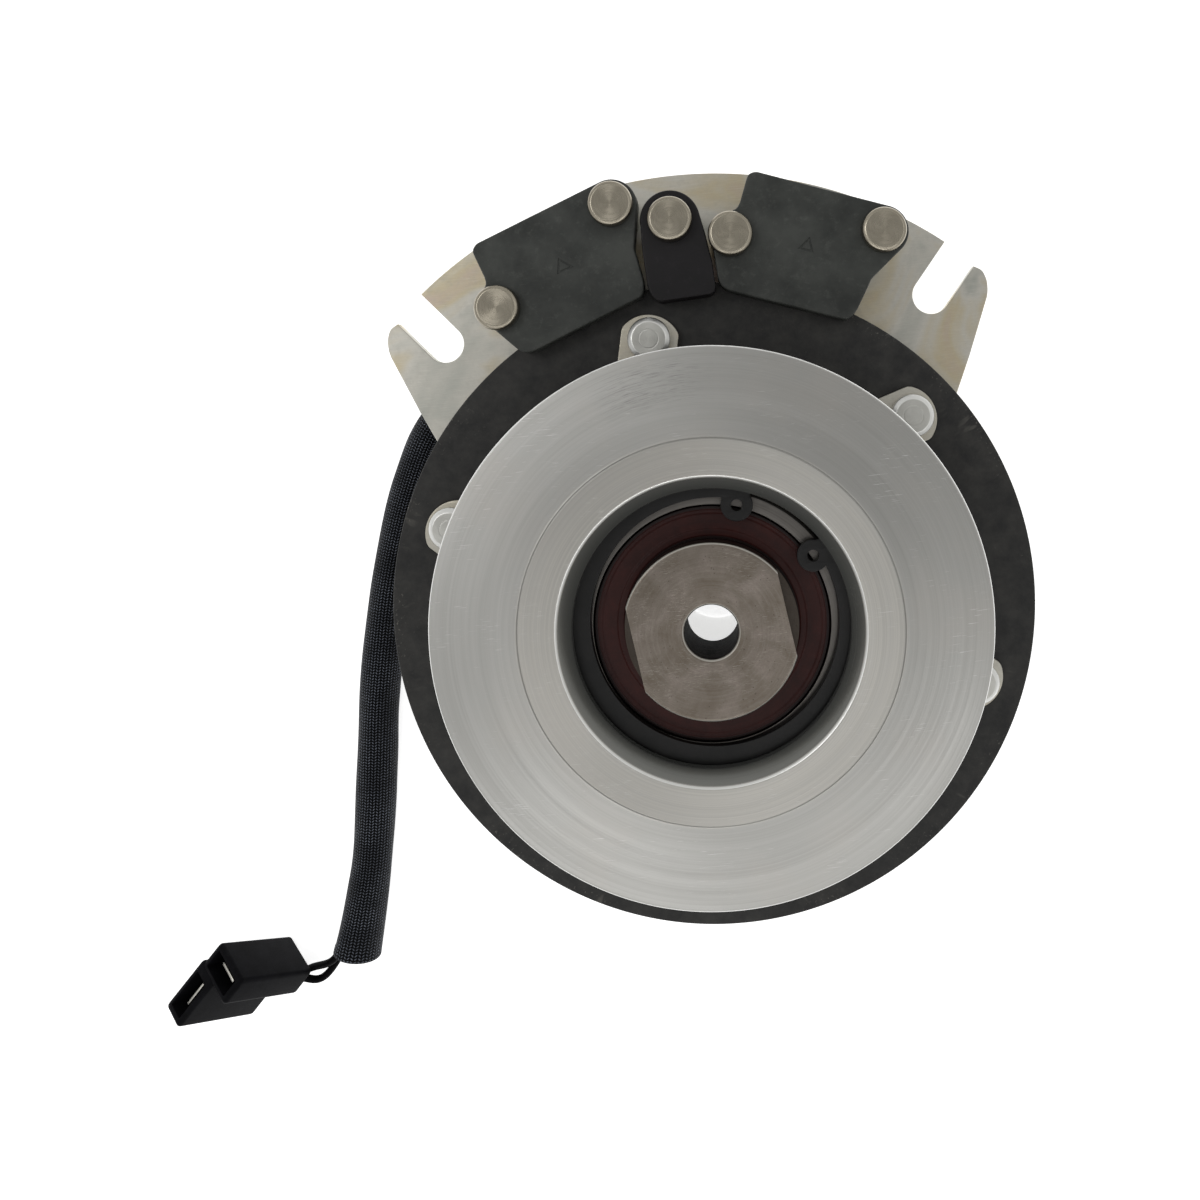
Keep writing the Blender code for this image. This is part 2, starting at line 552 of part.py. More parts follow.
# ---------------------------------------------------------------- armature
armature = at_axis(flat("armature_plate", [circle(0, 0, ARM_R, 72), circle(0, 0, ARM_IN_R, 36)]
                        + [circle(x, y, 3.4, 10) for x, y in outer_rivets], ARM_Z0, ARM_Z1, "black_plate"))
for i, (x, y) in enumerate(inner_rivets):
    boolean(armature, at_axis(rod(f"armature_relief_{i + 1}", 6.9, (x, y, 25.0), (x, y, 36.5), 14)))
for i, (x, y) in enumerate(outer_rivets):
    rivet = turned(f"armature_rivet_{i + 1}", [
        (0.0, 28.1), (3.0, 28.1), (3.0, 36.0), (5.3, 36.0), (5.4, 36.5), (4.5, 37.9), (4.2, 38.0), (0.0, 38.0),
    ], "bright_rivet", steps=14)
    rivet.data.transform(Matrix.Translation((x * MM, y * MM, 0.0)))
    at_axis(rivet)


# ---------------------------------------------------------------- lead
def tube(name, points, radii, look, resolution):
    data = bpy.data.curves.new(name, "CURVE")
    data.dimensions = "3D"
    data.bevel_depth = MM
    data.bevel_resolution = resolution
    data.use_fill_caps = True
    line = data.splines.new("POLY")
    line.points.add(len(points) - 1)
    for point, (x, y, z), r in zip(line.points, points, radii):
        point.co = (x * MM, (y + AXIS_Y) * MM, z * MM, 1.0)
        point.radius = r
    made = bpy.data.objects.new(name, data)
    scene.collection.objects.link(made)
    bpy.context.view_layer.update()
    graph = bpy.context.evaluated_depsgraph_get()
    mesh = bpy.data.meshes.new_from_object(made.evaluated_get(graph))
    scene.collection.objects.unlink(made)
    bpy.data.objects.remove(made)
    bpy.data.curves.remove(data)
    mesh.name = name
    body = bmesh.new()
    body.from_mesh(mesh)
    bmesh.ops.remove_doubles(body, verts=body.verts, dist=1e-6)
    bmesh.ops.recalc_face_normals(body, faces=body.faces)
    body.to_mesh(mesh)
    body.free()
    return finish(bpy.data.objects.new(name, mesh), look)


def smooth_path(knots, count):
    """Evenly spaced points on a centripetal Catmull-Rom curve through the knots."""
    pts = [Vector(k) for k in knots]
    pts = [2 * pts[0] - pts[1]] + pts + [2 * pts[-1] - pts[-2]]
    dense = []
    for p0, p1, p2, p3 in zip(pts, pts[1:], pts[2:], pts[3:]):
        t0 = 0.0
        t1 = t0 + math.sqrt((p1 - p0).length)
        t2 = t1 + math.sqrt((p2 - p1).length)
        t3 = t2 + math.sqrt((p3 - p2).length)
        for i in range(24):
            t = t1 + (t2 - t1) * i / 24
            a1 = p0 * ((t1 - t) / (t1 - t0)) + p1 * ((t - t0) / (t1 - t0))
            a2 = p1 * ((t2 - t) / (t2 - t1)) + p2 * ((t - t1) / (t2 - t1))
            a3 = p2 * ((t3 - t) / (t3 - t2)) + p3 * ((t - t2) / (t3 - t2))
            b1 = a1 * ((t2 - t) / (t2 - t0)) + a2 * ((t - t0) / (t2 - t0))
            b2 = a2 * ((t3 - t) / (t3 - t1)) + a3 * ((t - t1) / (t3 - t1))
            dense.append(b1 * ((t2 - t) / (t2 - t1)) + b2 * ((t - t1) / (t2 - t1)))
    dense.append(pts[-2])
    lengths = [0.0]
    for a, b in zip(dense, dense[1:]):
        lengths.append(lengths[-1] + (b - a).length)
    out, j = [], 0
    for i in range(count):
        want = lengths[-1] * i / (count - 1)
        while j < len(dense) - 2 and lengths[j + 1] < want:
            j += 1
        span = lengths[j + 1] - lengths[j]
        out.append(dense[j].lerp(dense[j + 1], 0.0 if span == 0 else (want - lengths[j]) / span))
    return [tuple(p) for p in out]


gx, gy = polar(1.0, LEAD_HEADING)


def on_exit(t, z=LEAD_Z):
    return (LEAD_EXIT[0] - t * gx, LEAD_EXIT[1] - t * gy, z)


grommet = turned("lead_grommet", [(0.0, 0.0), (4.6, 0.0), (4.6, 5.0), (5.7, 5.0), (5.7, 6.7), (0.0, 6.7)], "grommet", steps=14)
grommet.rotation_euler = Vector((gx, gy, 0)).to_track_quat("Z", "Y").to_euler()
grommet.location = Vector((LEAD_EXIT[0] - 7.25 * gx, LEAD_EXIT[1] - 7.25 * gy + AXIS_Y, LEAD_Z)) * MM

lie = SLEEVE_R + 0.05
sleeve_knots = [
    on_exit(0.0), on_exit(-3.5), (-52.6, 60.5, 7.9), (-58.2, 60.6, 6.9), (-64.2, 58.9, 6.0), (-70.2, 55.1, lie), (-76.2, 48.0, lie),
    (-81.6, 37.1, lie), (-85.8, 26.2, lie), (-90.8, 9.7, lie), (-94.5, -6.8, lie), (-97.6, -23.4, lie), (-99.8, -40.1, lie),
    (-101.6, -53.0, lie), (-104.1, -67.9, lie), (-107.5, -82.0, 5.95), (-110.3, -92.8, 6.8),
]
sleeve_path = smooth_path(sleeve_knots, 30)
sleeve_radii = [SLEEVE_R + 1.0 * max(0.0, (i - 25) / 4) ** 1.5 for i in range(30)]
tube("lead_sleeve", sleeve_path, sleeve_radii, "sleeve", 2)

# connector: two barrels set square to each other, tails down, mating ends up
roll = Matrix.Rotation(math.radians(CON_ROLL), 3, "Z")
con_u, con_w, con_v = (roll @ Vector(d) for d in (CON_U, CON_W, CON_V))
con_t = roll @ Vector(CON_T) + Vector((0, 0, 0.15))


def con(u, w, v):
    """Point in the connector's own directions, as mm from the clutch axis."""
    return con_t + u * con_u + w * con_w + v * con_v


def con_box(name, low, high, look=None, cutter=False, bevel=0.0):
    middle = con(*[(a + b) / 2 for a, b in zip(low, high)])
    turn = Matrix((con_u, con_w, con_v)).transposed().to_4x4()
    made = block(name, [b - a for a, b in zip(low, high)], look, cutter=cutter, bevel=bevel)
    made.matrix_world = Matrix.Translation((middle + Vector((0, AXIS_Y, 0))) * MM) @ turn
    bpy.context.view_layer.update()
    made.data.transform(made.matrix_world)
    made.matrix_world = Matrix.Identity(4)
    return made


housing = con_box("connector_housing", (-CON_L, 0, 0), (0, CON_B, CON_A), "connector_black", bevel=0.6)
second = con_box("barrel_b", (-CON_L, CON_B - 1.4, CON_OFF), (-0.02, CON_B + CON_A, CON_OFF + CON_B), cutter=True, bevel=0.6)
boolean(housing, second, "UNION")
boolean(housing, con_box("cavity_a", (-14.0, 1.4, 1.6), (3.0, CON_B - 1.4, CON_A - 1.6), cutter=True))
boolean(housing, con_box("cavity_b", (-14.0, CON_B + 1.4, CON_OFF + 1.4), (3.0, CON_B + CON_A - 1.8, CON_OFF + CON_B - 1.4), cutter=True))
boolean(housing, con_box("seat_a", (-19.0, CON_B / 2 - 0.8, CON_A / 2 - 3.6), (-13.0, CON_B / 2 + 0.8, CON_A / 2 + 3.6), cutter=True))
mid_b = (CON_B + 1.4 + CON_B + CON_A - 1.8) / 2
boolean(housing, con_box("seat_b", (-19.0, mid_b - 3.6, CON_OFF + CON_B / 2 - 0.8), (-13.0, mid_b + 3.6, CON_OFF + CON_B / 2 + 0.8), cutter=True))
con_box("blade_terminal_1", (-18.7, CON_B / 2 - 0.4, CON_A / 2 - 3.15), (-2.2, CON_B / 2 + 0.4, CON_A / 2 + 3.15), "blade_tin")
con_box("blade_terminal_2", (-18.7, mid_b - 3.15, CON_OFF + CON_B / 2 - 0.4), (-2.2, mid_b + 3.15, CON_OFF + CON_B / 2 + 0.4), "blade_tin")

# two wires from the sleeve's mouth to the tails of the two barrels
mouth = Vector(sleeve_path[-1])
heading = (Vector(sleeve_path[-1]) - Vector(sleeve_path[-2])).normalized()
across = Vector((-heading.y, heading.x, 0)).normalized()
for name, rise, knots, end in (
    ("lead_wire_1", 1.5, [(-118.2, -94.9, 7.3), (-121.4, -96.2, 5.4), (-124.6, -97.3, 3.4), (-128.2, -99.2, 1.7), (-132.2, -101.6, 1.1)],
     con(-CON_L, 11.0, 4.6)),
    ("lead_wire_2", -1.5, [(-117.2, -95.6, 4.9), (-119.4, -98.5, 4.4), (-121.9, -100.8, 3.9), (-124.8, -101.8, 3.5)],
     con(-CON_L, 4.6, 10.4)),
):
    start = mouth + heading * 0.35 + across * -4.6 + Vector((0, 0, rise))
    path = [start, start + heading * 1.4] + [Vector(k) for k in knots] + [end - con_u * t for t in (3.0, 1.2, 0.35)]
    path = [(x, y, max(z, WIRE_R + 0.05)) for x, y, z in smooth_path(path, 15)]
    tube(name, path, [WIRE_R] * 15, "wire_black", 1)
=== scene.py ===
import math

import bmesh
import bpy
from mathutils import Matrix, Vector, noise
from mathutils.geometry import tessellate_polygon


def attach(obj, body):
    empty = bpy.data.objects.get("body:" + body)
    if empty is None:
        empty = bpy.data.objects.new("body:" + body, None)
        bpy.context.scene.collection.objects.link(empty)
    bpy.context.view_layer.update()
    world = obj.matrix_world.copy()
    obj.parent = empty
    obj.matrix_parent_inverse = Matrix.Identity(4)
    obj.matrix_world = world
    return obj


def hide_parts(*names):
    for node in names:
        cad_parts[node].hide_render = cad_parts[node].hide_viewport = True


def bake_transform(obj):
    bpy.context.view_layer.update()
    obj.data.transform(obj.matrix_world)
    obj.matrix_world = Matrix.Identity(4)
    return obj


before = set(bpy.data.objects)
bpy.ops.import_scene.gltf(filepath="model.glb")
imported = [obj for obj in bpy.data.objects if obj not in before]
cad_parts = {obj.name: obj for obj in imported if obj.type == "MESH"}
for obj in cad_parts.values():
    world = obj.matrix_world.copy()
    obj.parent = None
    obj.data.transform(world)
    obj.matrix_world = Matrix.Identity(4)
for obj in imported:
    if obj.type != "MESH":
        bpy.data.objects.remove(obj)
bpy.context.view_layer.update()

MM = 0.001
AXIS_Y = -15.5  # clutch axis in the frame, mm
home = bpy.context.scene.collection


# ================================================================ camera
# straight down on the clutch, close, as the photograph was taken; the shift is the photograph's own off-centre framing
cam_data = bpy.data.cameras.new("camera")
cam_data.lens = 28.635
cam_data.sensor_width = 36.0
cam_data.shift_x = -0.1125
cam_data.shift_y = -0.1667
cam_data.clip_start = 0.005
cam_data.dof.use_dof = False
camera = bpy.data.objects.new("camera", cam_data)
camera.location = (0.0103, 0.0349, 0.274)
camera.rotation_euler = (0.0, 0.0, math.radians(-5.75))
home.objects.link(camera)
bpy.context.scene.camera = camera
bpy.context.scene.view_settings.view_transform = "Standard"
bpy.context.scene.view_settings.look = "None"


# ================================================================ material nodes
class Look:
    """One procedural material. Coordinates are millimetres about the clutch axis."""

    def __init__(self, name, metallic=0.0, roughness=0.5, colour=(0.5, 0.5, 0.5), anisotropic=0.0, coat=0.0, coat_roughness=0.1,
                 ior=1.5, specular=0.5, sheen=0.0):
        self.mat = bpy.data.materials.new(name)
        self.mat.use_nodes = True
        self.tree = self.mat.node_tree
        self.shader = self.tree.nodes["Principled BSDF"]
        s = self.shader.inputs
        s["Metallic"].default_value = metallic
        s["Roughness"].default_value = roughness
        s["Base Color"].default_value = (*colour, 1.0)
        s["Anisotropic"].default_value = anisotropic
        s["Coat Weight"].default_value = coat
        s["Coat Roughness"].default_value = coat_roughness
        s["IOR"].default_value = ior
        s["Specular IOR Level"].default_value = specular
        s["Sheen Weight"].default_value = sheen
        self.mat.diffuse_color = (*colour, 1.0)
        where = self.tree.nodes.new("ShaderNodeTexCoord")
        self.uv = where.outputs["UV"]
        move = self.tree.nodes.new("ShaderNodeMapping")
        self.tree.links.new(where.outputs["Object"], move.inputs["Vector"])
        move.inputs["Location"].default_value = (0.0, -AXIS_Y, 0.0)
        move.inputs["Scale"].default_value = (1000.0, 1000.0, 1000.0)
        self.mm = move.outputs["Vector"]
        self.height = None

    def node(self, kind, inputs=None, **props):
        made = self.tree.nodes.new(kind)
        for key, value in props.items():
            setattr(made, key, value)
        for key, value in (inputs or {}).items():
            self.put(made.inputs[key], value)
        return made

    def put(self, socket, value):
        if isinstance(value, bpy.types.NodeSocket):
            self.tree.links.new(value, socket)
        elif isinstance(value, (tuple, list)) and len(value) == 3 and socket.type == "RGBA":
            socket.default_value = (*value, 1.0)
        else:
            socket.default_value = value

    def math(self, op, a, b=0.0, c=0.0, clamp=False):
        made = self.tree.nodes.new("ShaderNodeMath")
        made.operation = op
        made.use_clamp = clamp
        for socket, value in zip(made.inputs, (a, b, c)):
            self.put(socket, value)
        return made.outputs[0]

    def add(self, a, b):
        return self.math("ADD", a, b)

    def mul(self, a, b):
        return self.math("MULTIPLY", a, b)

    def split(self, vector):
        return self.node("ShaderNodeSeparateXYZ", {"Vector": vector}).outputs

    def join(self, x, y, z):
        return self.node("ShaderNodeCombineXYZ", {"X": x, "Y": y, "Z": z}).outputs[0]

    def stretch(self, vector, scale, turn=(0, 0, 0), move=(0, 0, 0)):
        return self.node("ShaderNodeMapping", {"Vector": vector, "Scale": scale, "Rotation": turn, "Location": move}).outputs[0]

    def noise(self, vector, scale=1.0, detail=3.0, rough=0.5, distort=0.0):
        return self.node("ShaderNodeTexNoise", {"Vector": vector, "Scale": scale, "Detail": detail, "Roughness": rough,
                                                "Distortion": distort}).outputs["Fac"]

    def cells(self, vector, scale=1.0, feature="F1"):
        return self.node("ShaderNodeTexVoronoi", {"Vector": vector, "Scale": scale}, feature=feature).outputs["Distance"]

    def ramp(self, value, stops, mode="LINEAR"):
        made = self.node("ShaderNodeValToRGB", {"Fac": value})
        band = made.color_ramp
        band.interpolation = mode
        while len(band.elements) < len(stops):
            band.elements.new(0.5)
        for spot, (at, shade) in zip(band.elements, stops):
            spot.position = at
            spot.color = (*shade, 1.0) if isinstance(shade, (tuple, list)) else (shade, shade, shade, 1.0)
        return made.outputs["Color"]

    def mix(self, factor, a, b, blend="MIX"):
        made = self.tree.nodes.new("ShaderNodeMix")
        made.data_type = "RGBA"
        made.blend_type = blend
        self.put(made.inputs[0], factor)
        self.put(made.inputs[6], a)
        self.put(made.inputs[7], b)
        return made.outputs[2]

    def span(self, value, low, high, frm=0.0, to=1.0):
        return self.node("ShaderNodeMapRange", {"Value": value, "From Min": low, "From Max": high, "To Min": frm, "To Max": to}).outputs[0]

    def ring(self, centre=(0.0, 0.0)):
        """Radius, height, and the cosine and sine of the angle about an upright axis."""
        x, y, z = self.split(self.stretch(self.mm, (1, 1, 1), move=(-centre[0], -centre[1], 0)))
        r = self.math("SQRT", self.add(self.mul(x, x), self.mul(y, y)))
        safe = self.math("MAXIMUM", r, 0.001)
        return r, z, self.math("DIVIDE", x, safe), self.math("DIVIDE", y, safe)

    def turning(self, pitch, drift=0.5, detail=3.0, centre=(0.0, 0.0)):
        """Noise that runs round the axis, as tool marks do."""
        r, z, c, s = self.ring(centre)
        along = self.mul(self.add(r, self.mul(z, 0.83)), 1.0 / pitch)
        return self.noise(self.join(along, self.mul(c, drift), self.mul(s, drift)), 1.0, detail, 0.6)

    def scratches(self, density=0.66, scale=0.35, turn=0.6, thin=40.0, seed=0.0):
        """A few thin straight marks; 1 on a mark and 0 elsewhere."""
        v = self.stretch(self.mm, (scale, scale * thin, scale), turn=(0, 0, turn), move=(seed, seed * 1.7, 0))
        line = self.noise(v, 1.0, 1.0, 0.4)
        where = self.noise(self.stretch(self.mm, (1, 1, 1), move=(seed * 9, 3 * seed, 0)), 0.08, 2.0, 0.5)
        return self.mul(self.span(line, density, density + 0.05), self.span(where, 0.5, 0.62))

    def bump(self, height, strength=0.3, depth=0.1):
        """Depth in mm."""
        made = self.node("ShaderNodeBump", {"Height": height, "Strength": strength, "Distance": depth * MM})
        if self.height is not None:
            self.tree.links.new(self.height, made.inputs["Normal"])
        self.height = made.outputs["Normal"]
        self.tree.links.new(self.height, self.shader.inputs["Normal"])

    def colour(self, value):
        self.put(self.shader.inputs["Base Color"], value)

    def roughness(self, value):
        self.put(self.shader.inputs["Roughness"], value)

    def round_grain(self):
        tangent = self.node("ShaderNodeTangent", direction_type="RADIAL", axis="Z")
        self.tree.links.new(tangent.outputs[0], self.shader.inputs["Tangent"])


def lin(r, g, b):
    """Screen colour 0-255 to scene light."""
    return tuple(((v / 255 + 0.055) / 1.055) ** 2.4 if v > 10 else v / 255 / 12.92 for v in (r, g, b))


def look_turned():
    k = Look("turned_steel", 1.0, 0.3, (0.6, 0.6, 0.6), anisotropic=0.62)
    k.round_grain()
    fine = k.turning(0.32, 0.35, 4.0)
    wide = k.turning(2.6, 0.9, 2.0)
    blot = k.noise(k.mm, 0.045, 3.0, 0.55)
    grit = k.noise(k.mm, 2.2, 3.0, 0.6)
    r, z, c, s = k.ring()
    # warmer flat ring inside the cone, cooler cone
    flat_ring = k.span(r, 43.6, 42.6)
    base = k.mix(flat_ring, (0.425, 0.420, 0.402), (0.585, 0.568, 0.530))
    base = k.mix(k.mul(k.span(fine, 0.3, 0.75), 0.40), base, (0.30, 0.295, 0.28))
    base = k.mix(k.mul(k.span(wide, 0.42, 0.7), 0.20), base, (0.55, 0.545, 0.53))
    base = k.mix(k.mul(k.span(blot, 0.5, 0.75), 0.22), base, (0.50, 0.46, 0.42))
    marks = k.math("MAXIMUM", k.scratches(0.70, 0.22, 0.5, 34.0, 1.3), k.scratches(0.72, 0.30, -0.9, 30.0, 4.1))
    base = k.mix(k.mul(marks, 0.5), base, (0.85, 0.85, 0.85))
    # painted shade: a streaked dark wedge on the cone near 98 degrees, standing in for the dark sector of the turned
    # sheen
    near = k.span(k.add(k.mul(c, -0.139), k.mul(s, 0.990)), 0.966, 0.993)
    streak = k.span(k.noise(k.join(k.mul(r, 6.0), k.mul(c, 13.0), k.mul(s, 13.0)), 1.0, 3.0, 0.6), 0.50, 0.64)
    painted_dark_wedge = k.mul(k.mul(near, streak), k.mul(k.span(r, 49.0, 54.0), k.span(r, 62.6, 59.0)))
    base = k.mix(k.mul(painted_dark_wedge, 0.42), base, (0.15, 0.15, 0.145))
    # dark, oiled wall of the mouth; its darkening further in is painted shade
    deep = k.mul(k.span(r, 34.16, 33.96), k.span(z, 63.9, 63.5))
    base = k.mix(k.mul(deep, k.span(z, 63.5, 60.0, 0.66, 0.90)), base, (0.112, 0.119, 0.112))
    # turned break edges: painted highlights on the mouth lip and the outer rim, painted shade on the step at the flat
    # ring
    lip = k.mul(k.span(r, 34.14, 34.22), k.span(r, 34.66, 34.58))
    rim = k.mul(k.span(r, 63.1, 63.25), k.span(z, 60.0, 60.2))
    step = k.mul(k.span(r, 42.55, 42.68), k.span(r, 43.1, 43.0))
    base = k.mix(k.mul(step, 0.45), base, (0.22, 0.22, 0.21))
    base = k.mix(k.mul(k.math("MAXIMUM", lip, rim), 0.85), base, (0.92, 0.92, 0.90))
    k.colour(base)
    rough = k.add(k.span(fine, 0.25, 0.8, 0.27, 0.40), k.mul(blot, 0.08))
    rough = k.add(rough, k.mul(deep, -0.17))
    k.put(k.shader.inputs["Metallic"], k.math("SUBTRACT", 1.0, k.mul(deep, 0.36)))
    k.roughness(k.add(rough, k.mul(grit, 0.04)))
    k.bump(fine, 0.30, 0.018)
    k.bump(wide, 0.25, 0.03)
    k.bump(marks, 0.4, 0.03)
    return k.mat


def look_worn():
    k = Look("worn_steel", 1.0, 0.42, (0.4, 0.37, 0.35), anisotropic=0.15)
    k.round_grain()
    mott = k.noise(k.mm, 0.16, 4.0, 0.55, 0.4)
    fine = k.noise(k.mm, 2.6, 4.0, 0.7)
    pits = k.cells(k.stretch(k.mm, (1, 1, 1), move=(3, 7, 0)), 1.15)
    lines = k.turning(0.45, 1.6, 3.0)
    pit = k.mul(k.span(pits, 0.20, 0.08), k.span(k.noise(k.mm, 0.7, 2.0, 0.5), 0.50, 0.60))
    base = k.ramp(mott, [(0.30, (0.165, 0.138, 0.110)), (0.5, (0.205, 0.176, 0.148)), (0.70, (0.265, 0.228, 0.200))])
    base = k.mix(k.mul(k.span(fine, 0.42, 0.68), 0.30), base, (0.165, 0.140, 0.118))
    base = k.mix(k.mul(k.span(lines, 0.45, 0.7), 0.14), base, (0.42, 0.39, 0.35))
    base = k.mix(k.mul(pit, 0.65), base, (0.07, 0.058, 0.05))
    marks = k.math("MAXIMUM", k.scratches(0.67, 0.5, 1.1, 26.0, 2.0), k.scratches(0.67, 0.6, -0.5, 24.0, 5.0))
    marks = k.math("MAXIMUM", marks, k.scratches(0.68, 0.7, 0.2, 22.0, 8.0))
    base = k.mix(k.mul(marks, 0.5), base, (0.55, 0.52, 0.47))
    r, z, c, s = k.ring()
    # painted shade: sides and collar below the front face darkened
    base = k.mix(k.mul(k.span(z, 63.55, 63.1), 0.86), base, (0.050, 0.042, 0.036))
    # rubbed edge line round the front face
    line = k.mul(k.span(z, 63.93, 63.86), k.span(z, 63.50, 63.60))
    base = k.mix(k.mul(line, 0.75), base, (0.70, 0.68, 0.62))
    # reamed shaft bore, clean and bright
    bore = k.mul(k.span(r, 12.2, 11.6), k.span(z, 47.3, 46.9))
    base = k.mix(bore, base, (0.78, 0.78, 0.77))
    k.colour(base)
    rough = k.add(k.span(fine, 0.3, 0.7, 0.34, 0.50), k.mul(pit, 0.2))
    rough = k.add(k.mul(rough, k.math("SUBTRACT", 1.0, bore)), k.mul(bore, 0.10))
    k.roughness(rough)
    k.bump(mott, 0.25, 0.08)
    k.bump(fine, 0.35, 0.025)
    k.bump(k.math("SUBTRACT", marks, pit), 0.5, 0.05)
    return k.mat


def look_drilled():
    """Wall of a drilled hole, oiled, and painted dark for the shade inside the hole."""
    k = Look("drilled_wall", 0.0, 0.6, lin(34, 31, 29), specular=0.2, ior=1.15)
    lines = k.turning(0.5, 1.2, 3.0)
    mott = k.noise(k.mm, 0.35, 4.0, 0.6)
    fine = k.noise(k.mm, 2.8, 3.0, 0.65)
    base = k.mix(k.span(mott, 0.3, 0.7), lin(14, 12, 12), lin(36, 32, 30))
    base = k.mix(k.mul(k.span(lines, 0.48, 0.72), 0.5), base, lin(66, 60, 55))
    k.colour(base)
    k.roughness(k.span(fine, 0.3, 0.7, 0.48, 0.72))
    k.bump(lines, 0.4, 0.05)
    return k.mat


def look_plain_steel(name, dark, light, rough=0.3, aniso=0.5, pitch=0.4):
    k = Look(name, 1.0, rough, light, anisotropic=aniso)
    k.round_grain()
    lines = k.turning(pitch, 0.6, 3.0)
    stain = k.noise(k.mm, 0.16, 4.0, 0.6)
    grit = k.noise(k.mm, 2.6, 3.0, 0.6)
    base = k.mix(k.span(lines, 0.3, 0.7), dark, light)
    base = k.mix(k.mul(k.span(stain, 0.52, 0.75), 0.3), base, tuple(0.55 * v for v in dark))
    k.colour(base)
    k.roughness(k.add(k.span(lines, 0.3, 0.7, rough - 0.06, rough + 0.08), k.mul(grit, 0.08)))
    k.bump(lines, 0.25, 0.02)
    k.bump(grit, 0.2, 0.02)
    return k.mat


def look_black_plate():
    k = Look("black_plate", 0.0, 0.55, lin(34, 33, 32), specular=0.28)
    fine = k.noise(k.mm, 3.4, 4.0, 0.7)
    mott = k.noise(k.mm, 0.22, 5.0, 0.6)
    r, z, c, s = k.ring()
    lines = k.turning(0.7, 1.6, 4.0)
    base = k.mix(k.span(mott, 0.32, 0.7), lin(37, 37, 37), lin(57, 56, 54))
    base = k.mix(k.mul(k.span(lines, 0.5, 0.78), 0.22), base, lin(46, 45, 43))
    # bare specks and nicks, mostly at the rim
    edge = k.span(r, 77.5, 80.6)
    speck = k.span(k.noise(k.stretch(k.mm, (1, 1, 0.4)), 1.25, 3.0, 0.65), 0.60, 0.68)
    where = k.span(k.noise(k.mm, 0.07, 2.0, 0.5), 0.44, 0.62)
    wear = k.mul(k.mul(speck, where), k.add(k.mul(edge, 0.85), 0.10))
    streak = k.mul(k.span(k.noise(k.join(k.mul(r, 0.12), k.mul(c, 26.0), k.mul(s, 26.0)), 1.0, 2.0, 0.5), 0.66, 0.72), k.span(r, 68.0, 80.0))
    wear = k.math("MAXIMUM", wear, k.mul(k.mul(streak, where), 0.35))
    # painted shade: the sides below the front face darkened
    base = k.mix(k.mul(k.span(z, 33.8, 33.4), 0.65), base, lin(20, 20, 20))
    base = k.mix(wear, base, lin(112, 109, 103))
    k.colour(base)
    k.roughness(k.span(fine, 0.3, 0.7, 0.46, 0.66))
    k.bump(fine, 0.5, 0.04)
    k.bump(mott, 0.2, 0.08)
    return k.mat


def look_shoe(name, dark, light, edge_light):
    k = Look(name, 0.0, 0.5, light, specular=0.30)
    fine = k.noise(k.mm, 4.6, 3.0, 0.65)
    mott = k.noise(k.mm, 0.12, 4.0, 0.55)
    dust = k.noise(k.mm, 0.5, 4.0, 0.7)
    base = k.mix(k.span(mott, 0.3, 0.7), dark, light)
    base = k.mix(k.mul(k.span(dust, 0.55, 0.75), 0.28), base, edge_light)
    marks = k.math("MAXIMUM", k.scratches(0.70, 0.30, 0.9, 30.0, 3.0), k.scratches(0.71, 0.35, -0.4, 28.0, 6.0))
    base = k.mix(k.mul(marks, 0.35), base, edge_light)
    k.colour(base)
    k.roughness(k.span(fine, 0.25, 0.75, 0.42, 0.60))
    k.bump(fine, 0.45, 0.03)
    k.bump(mott, 0.15, 0.15)
    return k.mat


def look_zinc(name, a, b, c3, d, rough=0.36):
    """Passivated zinc: broad faint tints over a fine rolled grain."""
    k = Look(name, 1.0, rough, b, anisotropic=0.3)
    tint = k.noise(k.mm, 0.030, 3.0, 0.55, 1.4)
    spang = k.noise(k.mm, 0.55, 4.0, 0.7)
    grain = k.noise(k.stretch(k.mm, (0.22, 3.2, 1.0), turn=(0, 0, 0.35)), 1.0, 4.0, 0.65)
    base = k.ramp(tint, [(0.30, a), (0.45, b), (0.58, c3), (0.72, d)])
    base = k.mix(k.mul(k.span(spang, 0.45, 0.72), 0.28), base, tuple(0.72 * v for v in b))
    base = k.mix(k.mul(k.span(grain, 0.45, 0.7), 0.22), base, tuple(min(1.0, 1.25 * v) for v in b))
    marks = k.math("MAXIMUM", k.scratches(0.69, 0.28, 0.3, 32.0, 1.0), k.scratches(0.70, 0.4, 1.3, 26.0, 7.0))
    base = k.mix(k.mul(marks, 0.45), base, (0.80, 0.78, 0.72))
    k.colour(base)
    k.roughness(k.add(k.span(spang, 0.3, 0.7, rough - 0.05, rough + 0.12), k.mul(grain, 0.06)))
    k.bump(grain, 0.2, 0.02)
    k.bump(spang, 0.25, 0.03)
    return k.mat


